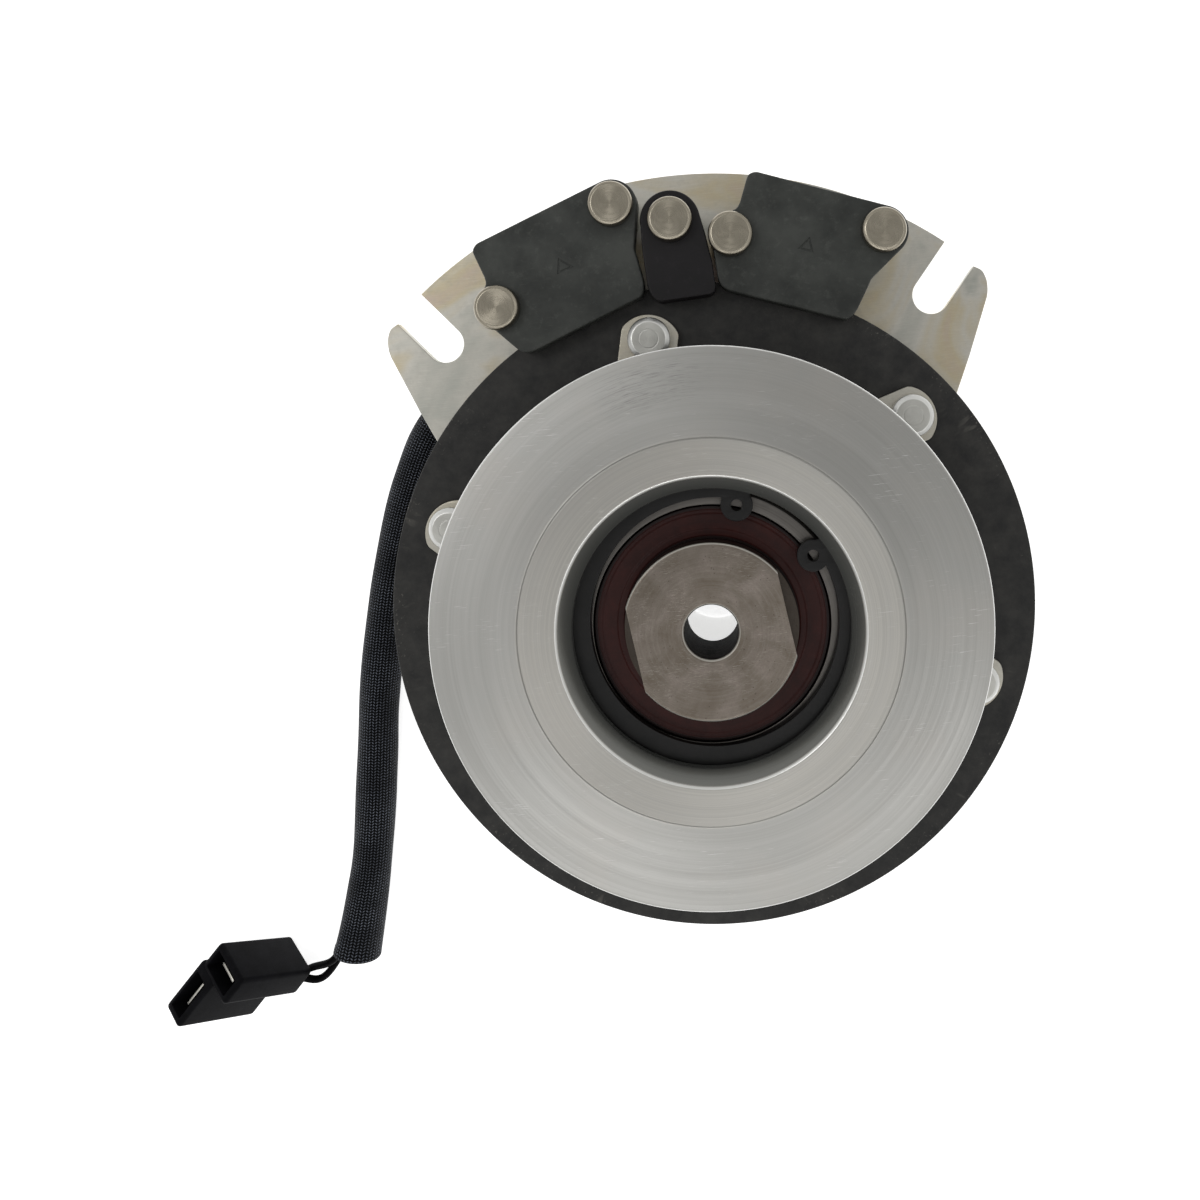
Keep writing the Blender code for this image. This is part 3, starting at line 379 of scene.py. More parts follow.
def look_pin(name, centre, dark, light, rough, swirl=3.0, flat=None):
    """Pin or rivet head, dressed with a spinning tool."""
    k = Look(name, 1.0, rough, light, anisotropic=0.78 if flat is None else 0.30)
    k.round_grain()
    r, z, c, s = k.ring(centre)
    angle = k.math("ARCTAN2", s, c)
    lines = k.noise(k.join(k.mul(r, 3.0), k.mul(c, 0.7), k.mul(s, 0.7)), 1.0, 3.0, 0.6)
    sweep = k.noise(k.join(k.math("COSINE", k.add(angle, k.mul(r, 0.35))), k.math("SINE", k.add(angle, k.mul(r, 0.35))), k.mul(r, 0.05)),
                    swirl, 4.0, 0.7)
    base = k.mix(k.span(sweep, 0.25, 0.75), dark, light)
    base = k.mix(k.mul(k.span(lines, 0.4, 0.7), 0.14), base, tuple(0.75 * v for v in dark))
    if flat is not None:
        # painted highlight: the chamfer ring outside the flat face lightened
        base = k.mix(k.mul(k.span(r, flat, flat + 0.15), 0.75), base, (0.93, 0.93, 0.91))
        # painted shade: a faint dark ring in the shallow groove on the head
        base = k.mix(k.mul(k.mul(k.span(r, 2.1, 2.25), k.span(r, 2.6, 2.45)), 0.14), base, (0.30, 0.30, 0.29))
    k.colour(base)
    k.roughness(k.add(k.span(lines, 0.3, 0.7, rough - 0.06, rough + 0.10), 0.0))
    k.bump(lines, 0.3, 0.02)
    return k.mat


def look_seal():
    k = Look("seal_brown", 0.0, 0.50, lin(48, 22, 20), specular=0.22)
    fine = k.noise(k.mm, 3.6, 4.0, 0.65)
    mott = k.noise(k.mm, 0.28, 4.0, 0.6)
    lines = k.turning(0.9, 0.8, 3.0)
    r, z, c, s = k.ring()
    base = k.mix(k.span(mott, 0.3, 0.72), lin(46, 20, 18), lin(60, 26, 23))
    base = k.mix(k.mul(k.span(lines, 0.45, 0.7), 0.35), base, lin(34, 18, 18))
    dust = k.span(k.noise(k.mm, 0.9, 4.0, 0.7), 0.58, 0.74)
    base = k.mix(k.mul(dust, 0.12), base, lin(92, 60, 52))
    # painted shade: thin black rings at the inner and outer lips of the seal
    lip = k.math("MAXIMUM", k.span(r, 26.1, 26.4), k.span(r, 20.2, 19.9))
    base = k.mix(k.mul(lip, 0.85), base, lin(18, 14, 14))
    k.colour(base)
    k.roughness(k.span(fine, 0.3, 0.7, 0.38, 0.56))
    k.bump(fine, 0.4, 0.03)
    k.bump(lines, 0.3, 0.05)
    return k.mat


def look_plastic(name, dark, light, rough=0.42, grain=2.4, depth=0.03, coat=0.0, specular=0.5, ior=1.5):
    k = Look(name, 0.0, rough, light, specular=specular, coat=coat, coat_roughness=0.25, ior=ior)
    fine = k.noise(k.mm, grain, 4.0, 0.65)
    mott = k.noise(k.mm, 0.2, 3.0, 0.55)
    dust = k.span(k.noise(k.mm, 0.8, 4.0, 0.7), 0.57, 0.76)
    base = k.mix(k.span(mott, 0.3, 0.7), dark, light)
    base = k.mix(k.mul(dust, 0.14), base, tuple(min(1.0, 2.6 * v + 0.01) for v in light))
    k.colour(base)
    k.roughness(k.add(k.span(fine, 0.3, 0.7, rough - 0.07, rough + 0.09), k.mul(dust, 0.1)))
    k.bump(fine, 0.4, depth)
    return k.mat


def look_copper():
    k = Look("copper", 1.0, 0.35, (0.6, 0.25, 0.12), anisotropic=0.4, coat=0.4, coat_roughness=0.15)
    k.round_grain()
    x, y, z = k.split(k.mm)
    r = k.math("SQRT", k.add(k.mul(x, x), k.mul(y, y)))
    turns = k.math("ABSOLUTE", k.math("SINE", k.mul(k.add(r, k.mul(z, 1.0)), 4.2)))
    mott = k.noise(k.mm, 0.3, 3.0, 0.6)
    base = k.mix(turns, (0.16, 0.05, 0.025), (0.62, 0.26, 0.12))
    k.colour(k.mix(k.mul(mott, 0.3), base, (0.45, 0.22, 0.13)))
    k.roughness(k.span(mott, 0.3, 0.7, 0.26, 0.42))
    k.bump(turns, 0.8, 0.25)
    return k.mat


def look_sleeve():
    """Braided sleeve: herringbone of black threads, along the tube's own UV in mm."""
    k = Look("sleeve", 0.0, 0.45, lin(20, 21, 24), specular=0.2, ior=1.25)
    u, v, _ = k.split(k.uv)
    # columns of short slanted threads, the slant turning over at each column
    wide, pitch = ROUND / 40, 0.80
    column = k.math("PINGPONG", u, wide)
    phase = k.mul(k.add(v, k.mul(column, 0.66)), math.pi / pitch)
    thread = k.math("ABSOLUTE", k.math("SINE", phase))
    valley = k.math("ABSOLUTE", k.math("SINE", k.mul(u, math.pi / wide)))
    high = k.mul(k.math("POWER", thread, 0.7), k.math("POWER", k.math("MAXIMUM", valley, 0.02), 0.35))
    strands = k.math("ABSOLUTE", k.math("SINE", k.mul(phase, 3.0)))
    fuzz = k.noise(k.mm, 4.0, 3.0, 0.7)
    glint_patchiness = k.noise(k.mm, 0.10, 3.0, 0.6)
    base = k.mix(k.span(high, 0.40, 0.95), lin(3, 3, 4), lin(30, 31, 35))
    # painted glints: a pale bluish sheen on the thread crests, patchy
    glint = k.mul(k.span(high, 0.74, 0.96), k.add(0.42, k.mul(k.span(glint_patchiness, 0.38, 0.58), k.span(fuzz, 0.42, 0.60))))
    base = k.mix(k.mul(glint, 0.85), base, lin(128, 134, 146))
    # rim of cut threads: frayed ends lightened, with a painted highlight on the cut edge
    rim = k.span(v, LENGTH - 0.7, LENGTH - 0.2)
    base = k.mix(k.mul(rim, 0.45), base, lin(96, 97, 102))
    k.colour(base)
    k.roughness(k.span(fuzz, 0.3, 0.7, 0.32, 0.58))
    k.bump(high, 1.0, 0.42)
    k.bump(strands, 0.5, 0.06)
    return k.mat


def look_floor():
    k = Look("floor", 0.0, 0.7, (0.9, 0.9, 0.9))
    tone = k.noise(k.mm, 0.02, 3.0, 0.5)
    r, z, c, s = k.ring()
    far = k.node("ShaderNodeMapRange", {"Value": r, "From Min": 380.0, "From Max": 1700.0}, interpolation_type="SMOOTHSTEP").outputs[0]
    k.colour(k.mix(far, k.mix(tone, (0.88, 0.88, 0.88), (0.92, 0.92, 0.92)), (0.40, 0.40, 0.395)))
    k.put(k.shader.inputs["Emission Color"], k.mix(far, (1.0, 1.0, 1.0), (0.36, 0.36, 0.355)))
    k.shader.inputs["Emission Strength"].default_value = 0.78
    k.bump(k.noise(k.mm, 0.6, 3.0, 0.5), 0.05, 0.05)
    return k.mat


LENGTH = 183.0  # sleeve, mm
ROUND = 2 * math.pi * 6.39 * 0.92  # the sleeve's U from end to end
LOOKS = {
    "turned_steel": look_turned(),
    "worn_steel": look_worn(),
    "black_plate": look_black_plate(),
    "shoe_black": look_shoe("shoe_black", lin(44, 46, 44), lin(67, 69, 66), lin(96, 98, 94)),
    "centre_black": look_shoe("centre_black", lin(16, 14, 16), lin(23, 20, 23), lin(44, 40, 44)),
    "zinc": look_zinc("zinc", (0.42, 0.43, 0.39), (0.595, 0.575, 0.52), (0.56, 0.49, 0.345), (0.54, 0.43, 0.39)),
    "spring_zinc": look_zinc("spring_zinc", (0.46, 0.45, 0.40), (0.54, 0.52, 0.46), (0.56, 0.52, 0.43), (0.50, 0.47, 0.44)),
    "bearing_steel": look_plain_steel("bearing_steel", (0.22, 0.205, 0.19), (0.33, 0.31, 0.29), 0.26, 0.5),
    "cage_steel": look_plain_steel("cage_steel", (0.34, 0.34, 0.33), (0.48, 0.48, 0.47), 0.3, 0.3),
    "shell_steel": look_plain_steel("shell_steel", (0.13, 0.128, 0.13), (0.22, 0.217, 0.215), 0.52, 0.3, 0.8),
    "rotor_steel": look_plain_steel("rotor_steel", (0.12, 0.12, 0.122), (0.20, 0.20, 0.202), 0.50, 0.3, 0.6),
    "seal_brown": look_seal(),
    "circlip_black": look_plastic("circlip_black", lin(12, 12, 12), lin(22, 21, 21), 0.36, 2.6, 0.02, 0.0, 0.3),
    "copper": look_copper(),
    "bobbin": look_plastic("bobbin", (0.20, 0.18, 0.15), (0.29, 0.27, 0.23), 0.55, 1.6, 0.04),
    "grommet": look_plastic("grommet", lin(22, 22, 23), lin(38, 38, 39), 0.6, 3.0, 0.05),
    "sleeve": look_sleeve(),
    "wire_black": look_plastic("wire_black", lin(9, 9, 10), lin(15, 15, 17), 0.5, 2.0, 0.02, 0.0, 0.2, 1.15),
    "connector_black": look_plastic("connector_black", lin(13, 13, 15), lin(21, 21, 24), 0.5, 3.2, 0.03, 0.0, 0.2, 1.16),
    "blade_tin": look_plain_steel("blade_tin", (0.62, 0.60, 0.54), (0.82, 0.80, 0.74), 0.3, 0.0, 0.5),
}


# ================================================================ shapes
def here(x, y, z):
    return (x * MM, (y + AXIS_Y) * MM, z * MM)


def finish_mesh(name, body, angle=34.0, weight=True):
    """Object from a bmesh, shaded smooth with even faces kept even."""
    bmesh.ops.recalc_face_normals(body, faces=body.faces)
    mesh = bpy.data.meshes.new(name)
    body.to_mesh(mesh)
    body.free()
    obj = bpy.data.objects.new(name, mesh)
    home.objects.link(obj)
    mesh.shade_smooth()
    mesh.set_sharp_from_angle(angle=math.radians(angle))
    if weight:
        even = obj.modifiers.new("even", "WEIGHTED_NORMAL")
        even.keep_sharp = True
        even.weight = 60
    return obj


def soften(points, r, steps=3, closed=True, least=11.0, radii=None):
    """Rounds each corner of an outline; r is how far from the corner the rounding starts."""
    out, n = [], len(points)
    for i, p in enumerate(points):
        p = Vector((p[0], p[1]))
        a, b = Vector(points[i - 1][:2]), Vector(points[(i + 1) % n][:2])
        if not closed and i in (0, n - 1):
            out.append(tuple(p))
            continue
        va, vb = a - p, b - p
        if va.length < 1e-6 or vb.length < 1e-6:
            out.append(tuple(p))
            continue
        turn = 180.0 - math.degrees(va.angle(vb))
        want = r if radii is None else radii.get(i, r)
        if turn < least or want <= 0:
            out.append(tuple(p))
            continue
        d = min(want, 0.45 * va.length, 0.45 * vb.length)
        p0, p1 = p + va.normalized() * d, p + vb.normalized() * d
        for k in range(steps + 1):
            t = k / steps
            q = p0 * (1 - t) ** 2 + p * (2 * t * (1 - t)) + p1 * t ** 2
            out.append(tuple(q))
    return out


def lathe_body(profile, segments, centre=(0.0, 0.0), edge=0.3, steps=3, radii=None):
    """Closed (radius, height) outline turned about an upright axis. Points at radius 0 are poles."""
    pole = any(r < 1e-6 for r, _ in profile)
    if pole:
        first = next(i for i in range(len(profile)) if profile[i][0] < 1e-6 and profile[i - 1][0] < 1e-6)
        profile = profile[first:] + profile[:first]
        line = soften(profile, edge, steps, closed=False, radii=radii)
    else:
        line = soften(profile, edge, steps, radii=radii)
    body = bmesh.new()
    rings = []
    for r, z in line:
        if r < 1e-6:
            rings.append([body.verts.new(here(centre[0], centre[1], z))])
        else:
            rings.append([
                body.verts.new(here(centre[0] + r * math.cos(2 * math.pi * i / segments), centre[1] + r * math.sin(2 * math.pi * i / segments), z))
                for i in range(segments)
            ])
    pairs = list(zip(rings, rings[1:])) + ([] if pole else [(rings[-1], rings[0])])
    for lower, upper in pairs:
        for i in range(segments):
            j = (i + 1) % segments
            if len(lower) == 1 and len(upper) == 1:
                continue
            if len(lower) == 1:
                body.faces.new((lower[0], upper[i], upper[j]))
            elif len(upper) == 1:
                body.faces.new((lower[i], lower[j], upper[0]))
            else:
                body.faces.new((lower[i], lower[j], upper[j], upper[i]))
    return body


def lathe(name, profile, segments=192, centre=(0.0, 0.0), edge=0.3, steps=3, radii=None):
    return finish_mesh(name, lathe_body(profile, segments, centre, edge, steps, radii))


def circle(cx, cy, r, n=64):
    return [(cx + r * math.cos(2 * math.pi * i / n), cy + r * math.sin(2 * math.pi * i / n)) for i in range(n)]


def arc(cx, cy, r, a0, a1, n):
    return [(cx + r * math.cos(math.radians(a0 + (a1 - a0) * i / (n - 1))), cy + r * math.sin(math.radians(a0 + (a1 - a0) * i / (n - 1))))
            for i in range(n)]


def polar(r, angle):
    return (r * math.cos(math.radians(angle)), r * math.sin(math.radians(angle)))


def placed(point, centre, angle):
    x, y = point
    c, s = math.cos(math.radians(angle)), math.sin(math.radians(angle))
    return (centre[0] + x * c - y * s, centre[1] + x * s + y * c)


def facing(loop, ccw):
    area = sum(a[0] * b[1] - b[0] * a[1] for a, b in zip(loop, loop[1:] + loop[:1]))
    return list(loop) if (area > 0) == ccw else list(loop)[::-1]


def inset(loop, d):
    """Moves each point to its left by d; left is into the material."""
    out, n = [], len(loop)
    for i in range(n):
        p, a, b = Vector(loop[i]), Vector(loop[i - 1]), Vector(loop[(i + 1) % n])
        ea, eb = (p - a).normalized(), (b - p).normalized()
        na, nb = Vector((-ea.y, ea.x)), Vector((-eb.y, eb.x))
        m = na + nb
        m = m / max(0.5, 1.0 + na.dot(nb))
        out.append(tuple(p + m * d))
    return out


def slab_body(loops, z0, z1, edge=0.3, steps=3):
    """Flat piece with rounded rims: the first loop is the outline, the others are holes."""
    loops = [facing(loops[0], True)] + [facing(l, False) for l in loops[1:]]
    levels = [(edge * (1 - math.sin(math.pi / 2 * k / steps)), z0 + edge * (1 - math.cos(math.pi / 2 * k / steps))) for k in range(steps + 1)]
    levels += [(off, z1 - (z - z0)) for off, z in reversed(levels)]
    body = bmesh.new()
    low, high = [], []
    for loop in loops:
        rings = [[body.verts.new(here(x, y, z)) for x, y in inset(loop, off)] for off, z in levels]
        n = len(loop)
        for a, b in zip(rings, rings[1:]):
            for i in range(n):
                j = (i + 1) % n
                body.faces.new((a[i], a[j], b[j], b[i]))
        low.append(rings[0])
        high.append(rings[-1])
    for cap in (low, high):
        flat = [v for ring in cap for v in ring]
        for tri in tessellate_polygon([[Vector((v.co.x, v.co.y, 0.0)) for v in ring] for ring in cap]):
            try:
                body.faces.new([flat[i] for i in tri])
            except ValueError:
                pass
    return body


def slab(name, loops, z0, z1, edge=0.3, steps=3):
    return finish_mesh(name, slab_body(loops, z0, z1, edge, steps))


def rounded_box(name, size, matrix, bevel=0.5, segments=3):
    """Box with rounded edges, size in mm, matrix in metres."""
    body = bmesh.new()
    bmesh.ops.create_cube(body, size=1.0)
    bmesh.ops.scale(body, vec=[s * MM for s in size], verts=body.verts)
    if bevel:
        bmesh.ops.bevel(body, geom=body.edges[:], offset=bevel * MM, segments=segments, profile=0.5, affect="EDGES")
    bmesh.ops.transform(body, matrix=matrix, verts=body.verts)
    return finish_mesh(name, body, weight=False)


def cylinder(r, a, b, n=48):
    """Cutter between two points in mm."""
    a, b = Vector(here(*a)), Vector(here(*b))
    body = bmesh.new()
    turn = Vector((0, 0, 1)).rotation_difference((b - a).normalized()).to_matrix().to_4x4()
    bmesh.ops.create_cone(body, cap_ends=True, segments=n, radius1=r * MM, radius2=r * MM, depth=(b - a).length,
                          matrix=Matrix.Translation((a + b) / 2) @ turn)
    return finish_mesh("cutter", body, weight=False)


def boolean(obj, others, operation="DIFFERENCE", angle=34.0):
    """Exact Boolean with each of the others, which are used up."""
    old_mods = [m.name for m in obj.modifiers]
    for m in old_mods:
        obj.modifiers.remove(obj.modifiers[m])
    for other in others:
        change = obj.modifiers.new("cut", "BOOLEAN")
        change.operation = operation
        change.solver = "EXACT"
        change.object = other
        bpy.context.view_layer.update()
        mesh = bpy.data.meshes.new_from_object(obj.evaluated_get(bpy.context.evaluated_depsgraph_get()))
        obj.modifiers.remove(change)
        old = obj.data
        obj.data = mesh
        mesh.name = obj.name
        bpy.data.meshes.remove(old)
        bpy.data.objects.remove(other)
    mesh = obj.data
    body = bmesh.new()
    body.from_mesh(mesh)
    bmesh.ops.remove_doubles(body, verts=body.verts, dist=2e-6)
    body.to_mesh(mesh)
    body.free()
    mesh.shade_smooth()
    mesh.set_sharp_from_angle(angle=math.radians(angle))
    if old_mods:
        even = obj.modifiers.new("even", "WEIGHTED_NORMAL")
        even.keep_sharp = True
        even.weight = 60
    return obj


def edge_break(obj, width=0.25, segments=2, angle=50.0):
    """Small rounding on edges that a cut left sharp."""
    for m in list(obj.modifiers):
        obj.modifiers.remove(m)
    soft = obj.modifiers.new("edge", "BEVEL")
    soft.width = width * MM
    soft.segments = segments
    soft.limit_method = "ANGLE"
    soft.angle_limit = math.radians(angle)
    soft.use_clamp_overlap = True
    soft.loop_slide = False
    soft.harden_normals = True
    return obj


def piece(obj, body, slot, *nodes, look=None):
    obj.data.materials.clear()
    obj.data.materials.append(look or LOOKS[slot])
    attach(obj, body)
    if nodes:
        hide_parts(*nodes)
    return obj


def smooth_path(knots, count):
    """Evenly spaced points on a centripetal Catmull-Rom curve through the knots, the CAD's own rule."""
    pts = [Vector(k) for k in knots]
    pts = [2 * pts[0] - pts[1]] + pts + [2 * pts[-1] - pts[-2]]
    dense = []
    for p0, p1, p2, p3 in zip(pts, pts[1:], pts[2:], pts[3:]):
        t0 = 0.0
        t1 = t0 + math.sqrt((p1 - p0).length)
        t2 = t1 + math.sqrt((p2 - p1).length)
        t3 = t2 + math.sqrt((p3 - p2).length)
        for i in range(24):
            t = t1 + (t2 - t1) * i / 24
            a1 = p0 * ((t1 - t) / (t1 - t0)) + p1 * ((t - t0) / (t1 - t0))
            a2 = p1 * ((t2 - t) / (t2 - t1)) + p2 * ((t - t1) / (t2 - t1))
            a3 = p2 * ((t3 - t) / (t3 - t2)) + p3 * ((t - t2) / (t3 - t2))
            b1 = a1 * ((t2 - t) / (t2 - t0)) + a2 * ((t - t0) / (t2 - t0))
            b2 = a2 * ((t3 - t) / (t3 - t1)) + a3 * ((t - t1) / (t3 - t1))
            dense.append(b1 * ((t2 - t) / (t2 - t1)) + b2 * ((t - t1) / (t2 - t1)))
    dense.append(pts[-2])
    lengths = [0.0]
    for a, b in zip(dense, dense[1:]):
        lengths.append(lengths[-1] + (b - a).length)
    out, j = [], 0
    for i in range(count):
        want = lengths[-1] * i / (count - 1)
        while j < len(dense) - 2 and lengths[j + 1] < want:
            j += 1
        step = lengths[j + 1] - lengths[j]
        out.append(dense[j].lerp(dense[j + 1], 0.0 if step == 0 else (want - lengths[j]) / step))
    return out


def path_length(path):
    return sum((b - a).length for a, b in zip(path, path[1:]))


def sweep(name, path, rows, sides, start_cap=True, end_cap=True):
    """Tube on a path. rows are (index on the path as a float, radius, wobble); UVs are mm round and along."""
    frames = []
    up = Vector((0, 0, 1))
    for i, p in enumerate(path):
        t = (path[min(i + 1, len(path) - 1)] - path[max(i - 1, 0)]).normalized()
        side = (up - t * up.dot(t)).normalized() if i == 0 else (frames[-1][1] - t * frames[-1][1].dot(t)).normalized()
        frames.append((t, side, t.cross(side)))
    runs = [0.0]
    for a, b in zip(path, path[1:]):
        runs.append(runs[-1] + (b - a).length)
    body = bmesh.new()
    layer = body.loops.layers.uv.new("UVMap")
    rings, marks = [], []
    widest = max(r for _, r, _ in rows)
    for at, r, wobble in rows:
        i = min(int(at), len(path) - 2)
        f = at - i
        p = path[i].lerp(path[i + 1], f)
        t = frames[i][0].lerp(frames[i + 1][0], f).normalized()
        s = frames[i][1].lerp(frames[i + 1][1], f)
        s = (s - t * s.dot(t)).normalized()
        w = t.cross(s)
        run = runs[i] + (runs[i + 1] - runs[i]) * f
        ring = []
        for k in range(sides):
            a = 2 * math.pi * k / sides
            direction = s * math.cos(a) + w * math.sin(a)
            rr = r
            if wobble:
                rr += wobble * noise.noise(Vector((direction.x * 1.1 + run * 0.055, direction.y * 1.1, direction.z * 1.1 + run * 0.04)))
            q = p + direction * rr
            ring.append(body.verts.new(here(*q)))
        rings.append(ring)
        marks.append(run)
    for i, (lower, upper) in enumerate(zip(rings, rings[1:])):
        for k in range(sides):
            j = (k + 1) % sides
            face = body.faces.new((lower[k], lower[j], upper[j], upper[k]))
            us = (k, k + 1, k + 1, k)
            vs = (marks[i], marks[i], marks[i + 1], marks[i + 1])
            for loop, uu, vv in zip(face.loops, us, vs):
                loop[layer].uv = (uu / sides * 2 * math.pi * widest * 0.92, vv)
    for ring, wanted in ((rings[0], start_cap), (rings[-1], end_cap)):
        if wanted:
            body.faces.new(ring)
    return finish_mesh(name, body, 50.0, weight=False)


# ================================================================ lead and connector
LEAD_EXIT, LEAD_HEADING, LEAD_Z = (-44.7, 56.9), 148.0, 8.5
gx, gy = polar(1.0, LEAD_HEADING)


def on_exit(t, z=LEAD_Z):
    return (LEAD_EXIT[0] - t * gx, LEAD_EXIT[1] - t * gy, z)


SLEEVE_R = 5.5
lie = SLEEVE_R + 0.05
sleeve_knots = [
    on_exit(0.0), on_exit(-3.5), (-52.6, 60.5, 7.9), (-58.2, 60.6, 6.9), (-64.2, 58.9, 6.0), (-70.2, 55.1, lie), (-76.2, 48.0, lie),
    (-81.6, 37.1, lie), (-85.8, 26.2, lie), (-90.8, 9.7, lie), (-94.5, -6.8, lie), (-97.6, -23.4, lie), (-99.8, -40.1, lie),
    (-101.6, -53.0, lie), (-104.1, -67.9, lie), (-107.5, -82.0, 5.95), (-110.3, -92.8, 6.8),
]
COUNT = 330
fine_path = smooth_path(sleeve_knots, COUNT)
coarse_path = smooth_path(sleeve_knots, 30)
last = COUNT - 1


def sleeve_radius(at):
    i = at / last * 29
    return SLEEVE_R + 1.0 * max(0.0, (i - 25) / 4) ** 1.5


rows = []
for n in range(COUNT):
    swell = 0.22 if 6 < n < COUNT - 4 else 0.0
    rows.append((float(n) - (0.02 if n == last else 0.0), sleeve_radius(n) - 0.11 - swell * 0.1, swell))
# cut end of the braid: rolled lip, thin wall, then the dark inside
rows += [(last - 0.02, sleeve_radius(last) - 0.28, 0.0), (last - 0.5, sleeve_radius(last) - 0.46, 0.0)]
for n in range(2, 24, 2):
    rows.append((last - n, sleeve_radius(last - n) - 0.52, 0.0))
sleeve = sweep("sleeve_braid", fine_path, rows, 72, start_cap=True, end_cap=True)
piece(sleeve, "field", "sleeve", "lead_sleeve")

CON_T = (-130.94, -91.93, 21.43)
CON_U, CON_W, CON_V = (-0.354, 0.405, 0.843), (-0.612, -0.782, 0.119), (0.708, -0.473, 0.525)
CON_A, CON_B, CON_L, CON_OFF = 13.3, 7.6, 25.4, -1.07
roll = Matrix.Rotation(math.radians(-5.75), 3, "Z")
con_u, con_w, con_v = (roll @ Vector(d) for d in (CON_U, CON_W, CON_V))
con_t = roll @ Vector(CON_T) + Vector((0, 0, 0.15))


def con(u, w, v):
    return con_t + u * con_u + w * con_w + v * con_v


def con_box(name, low, high, bevel=0.5, segments=3):
    middle = con(*[(a + b) / 2 for a, b in zip(low, high)])
    turn = Matrix((con_u, con_w, con_v)).transposed().to_4x4()
    return rounded_box(name, [b - a for a, b in zip(low, high)], Matrix.Translation(Vector(here(*middle))) @ turn, bevel, segments)


mid_b = (CON_B + 1.4 + CON_B + CON_A - 1.8) / 2
housing = con_box("connector_body", (-CON_L, 0, 0), (0, CON_B, CON_A), 1.15, 5)
boolean(housing, [con_box("b", (-CON_L, CON_B - 1.4, CON_OFF), (-0.02, CON_B + CON_A, CON_OFF + CON_B), 1.15, 5)], "UNION")
boolean(housing, [
    con_box("c", (-14.0, 1.4, 1.6), (3.0, CON_B - 1.4, CON_A - 1.6), 0.35, 2),
    con_box("d", (-14.0, CON_B + 1.4, CON_OFF + 1.4), (3.0, CON_B + CON_A - 1.8, CON_OFF + CON_B - 1.4), 0.35, 2),
    con_box("e", (-19.0, CON_B / 2 - 0.8, CON_A / 2 - 3.6), (-13.0, CON_B / 2 + 0.8, CON_A / 2 + 3.6), 0.0),
    con_box("f", (-19.0, mid_b - 3.6, CON_OFF + CON_B / 2 - 0.8), (-13.0, mid_b + 3.6, CON_OFF + CON_B / 2 + 0.8), 0.0),
])
edge_break(housing, 0.22, 2)
piece(housing, "field", "connector_black", "connector_housing")

for n, (low, high) in enumerate((
    ((-18.7, CON_B / 2 - 0.4, CON_A / 2 - 3.15), (-2.2, CON_B / 2 + 0.4, CON_A / 2 + 3.15)),
    ((-18.7, mid_b - 3.15, CON_OFF + CON_B / 2 - 0.4), (-2.2, mid_b + 3.15, CON_OFF + CON_B / 2 + 0.4)),
)):
    blade = con_box(f"blade_{n + 1}", low, high, 0.22, 3)
    piece(blade, "field", "blade_tin", f"blade_terminal_{n + 1}")

mouth = coarse_path[-1]
heading = (coarse_path[-1] - coarse_path[-2]).normalized()
across = Vector((-heading.y, heading.x, 0)).normalized()
WIRE_R = 1.0
for n, (rise, knots, end) in enumerate((
    (1.5, [(-118.2, -94.9, 7.3), (-121.4, -96.2, 5.4), (-124.6, -97.3, 3.4), (-128.2, -99.2, 1.7), (-132.2, -101.6, 1.1)], con(-CON_L, 11.0, 4.6)),
    (-1.5, [(-117.2, -95.6, 4.9), (-119.4, -98.5, 4.4), (-121.9, -100.8, 3.9), (-124.8, -101.8, 3.5)], con(-CON_L, 4.6, 10.4)),
)):
    start = mouth + heading * 0.35 + across * -4.6 + Vector((0, 0, rise))
    shown = smooth_path([start, start + heading * 1.4] + [Vector(k) for k in knots] + [end - con_u * t for t in (3.0, 1.2, 0.35)], 60)
    shown = [Vector((p.x, p.y, max(p.z, WIRE_R + 0.05))) for p in shown]
    # inside the sleeve the pair runs to the middle
    inside = []
    for back, side, height in ((17.0, -0.4, 1.1), (12.0, -1.2, 1.15), (8.0, -2.3, 1.25), (4.5, -3.5, 1.35), (1.8, -4.3, 1.5)):
        at = fine_path[int(round(last - back / path_length(fine_path) * last))]
        inside.append(at + across * side + Vector((0, 0, height * (1 if rise > 0 else -1))))
    route = smooth_path(inside + shown[::4] + [shown[-1]], 110)
    for _ in range(110):
        route = [route[0]] + [route[i] * 0.5 + (route[i - 1] + route[i + 1]) * 0.25 for i in range(1, 109)] + [route[-1]]
    route = [Vector((p.x, p.y, max(p.z, WIRE_R + 0.05))) for p in route]
    wire = sweep(f"wire_{n + 1}", route, [(min(i, 108.999), WIRE_R, 0.0) for i in range(110)], 24)
    piece(wire, "field", "wire_black", f"lead_wire_{n + 1}")

# rubber grommet where the lead leaves the housing
grommet_body = lathe_body([(0.0, 0.0), (4.6, 0.0), (4.6, 5.0), (5.7, 5.0), (5.7, 6.7), (0.0, 6.7)], 64, edge=0.4)
place = Matrix.Translation(Vector(here(LEAD_EXIT[0] - 7.25 * gx, LEAD_EXIT[1] - 7.25 * gy, LEAD_Z))) @ Vector((gx, gy, 0)).to_track_quat("Z", "Y").to_matrix().to_4x4()
bmesh.ops.transform(grommet_body, matrix=place @ Matrix.Translation((0, -AXIS_Y * MM, 0)), verts=grommet_body.verts)
grommet = piece(finish_mesh("grommet", grommet_body), "field", "grommet", "lead_grommet")


# ================================================================ field
shell = lathe("shell", [
    (28.5, 0.0), (67.2, 0.0), (68.0, 0.8), (68.0, 19.9), (64.0, 19.9), (64.0, 3.0),
    (36.5, 3.0), (36.5, 19.9), (31.3, 19.9), (31.3, 3.0), (28.5, 3.0),
], 192, edge=0.4)
boolean(shell, [cylinder(5.0, (LEAD_EXIT[0] - 11 * gx, LEAD_EXIT[1] - 11 * gy, LEAD_Z), (LEAD_EXIT[0] + 6 * gx, LEAD_EXIT[1] + 6 * gy, LEAD_Z))])
piece(shell, "field", "shell_steel", "field_shell")

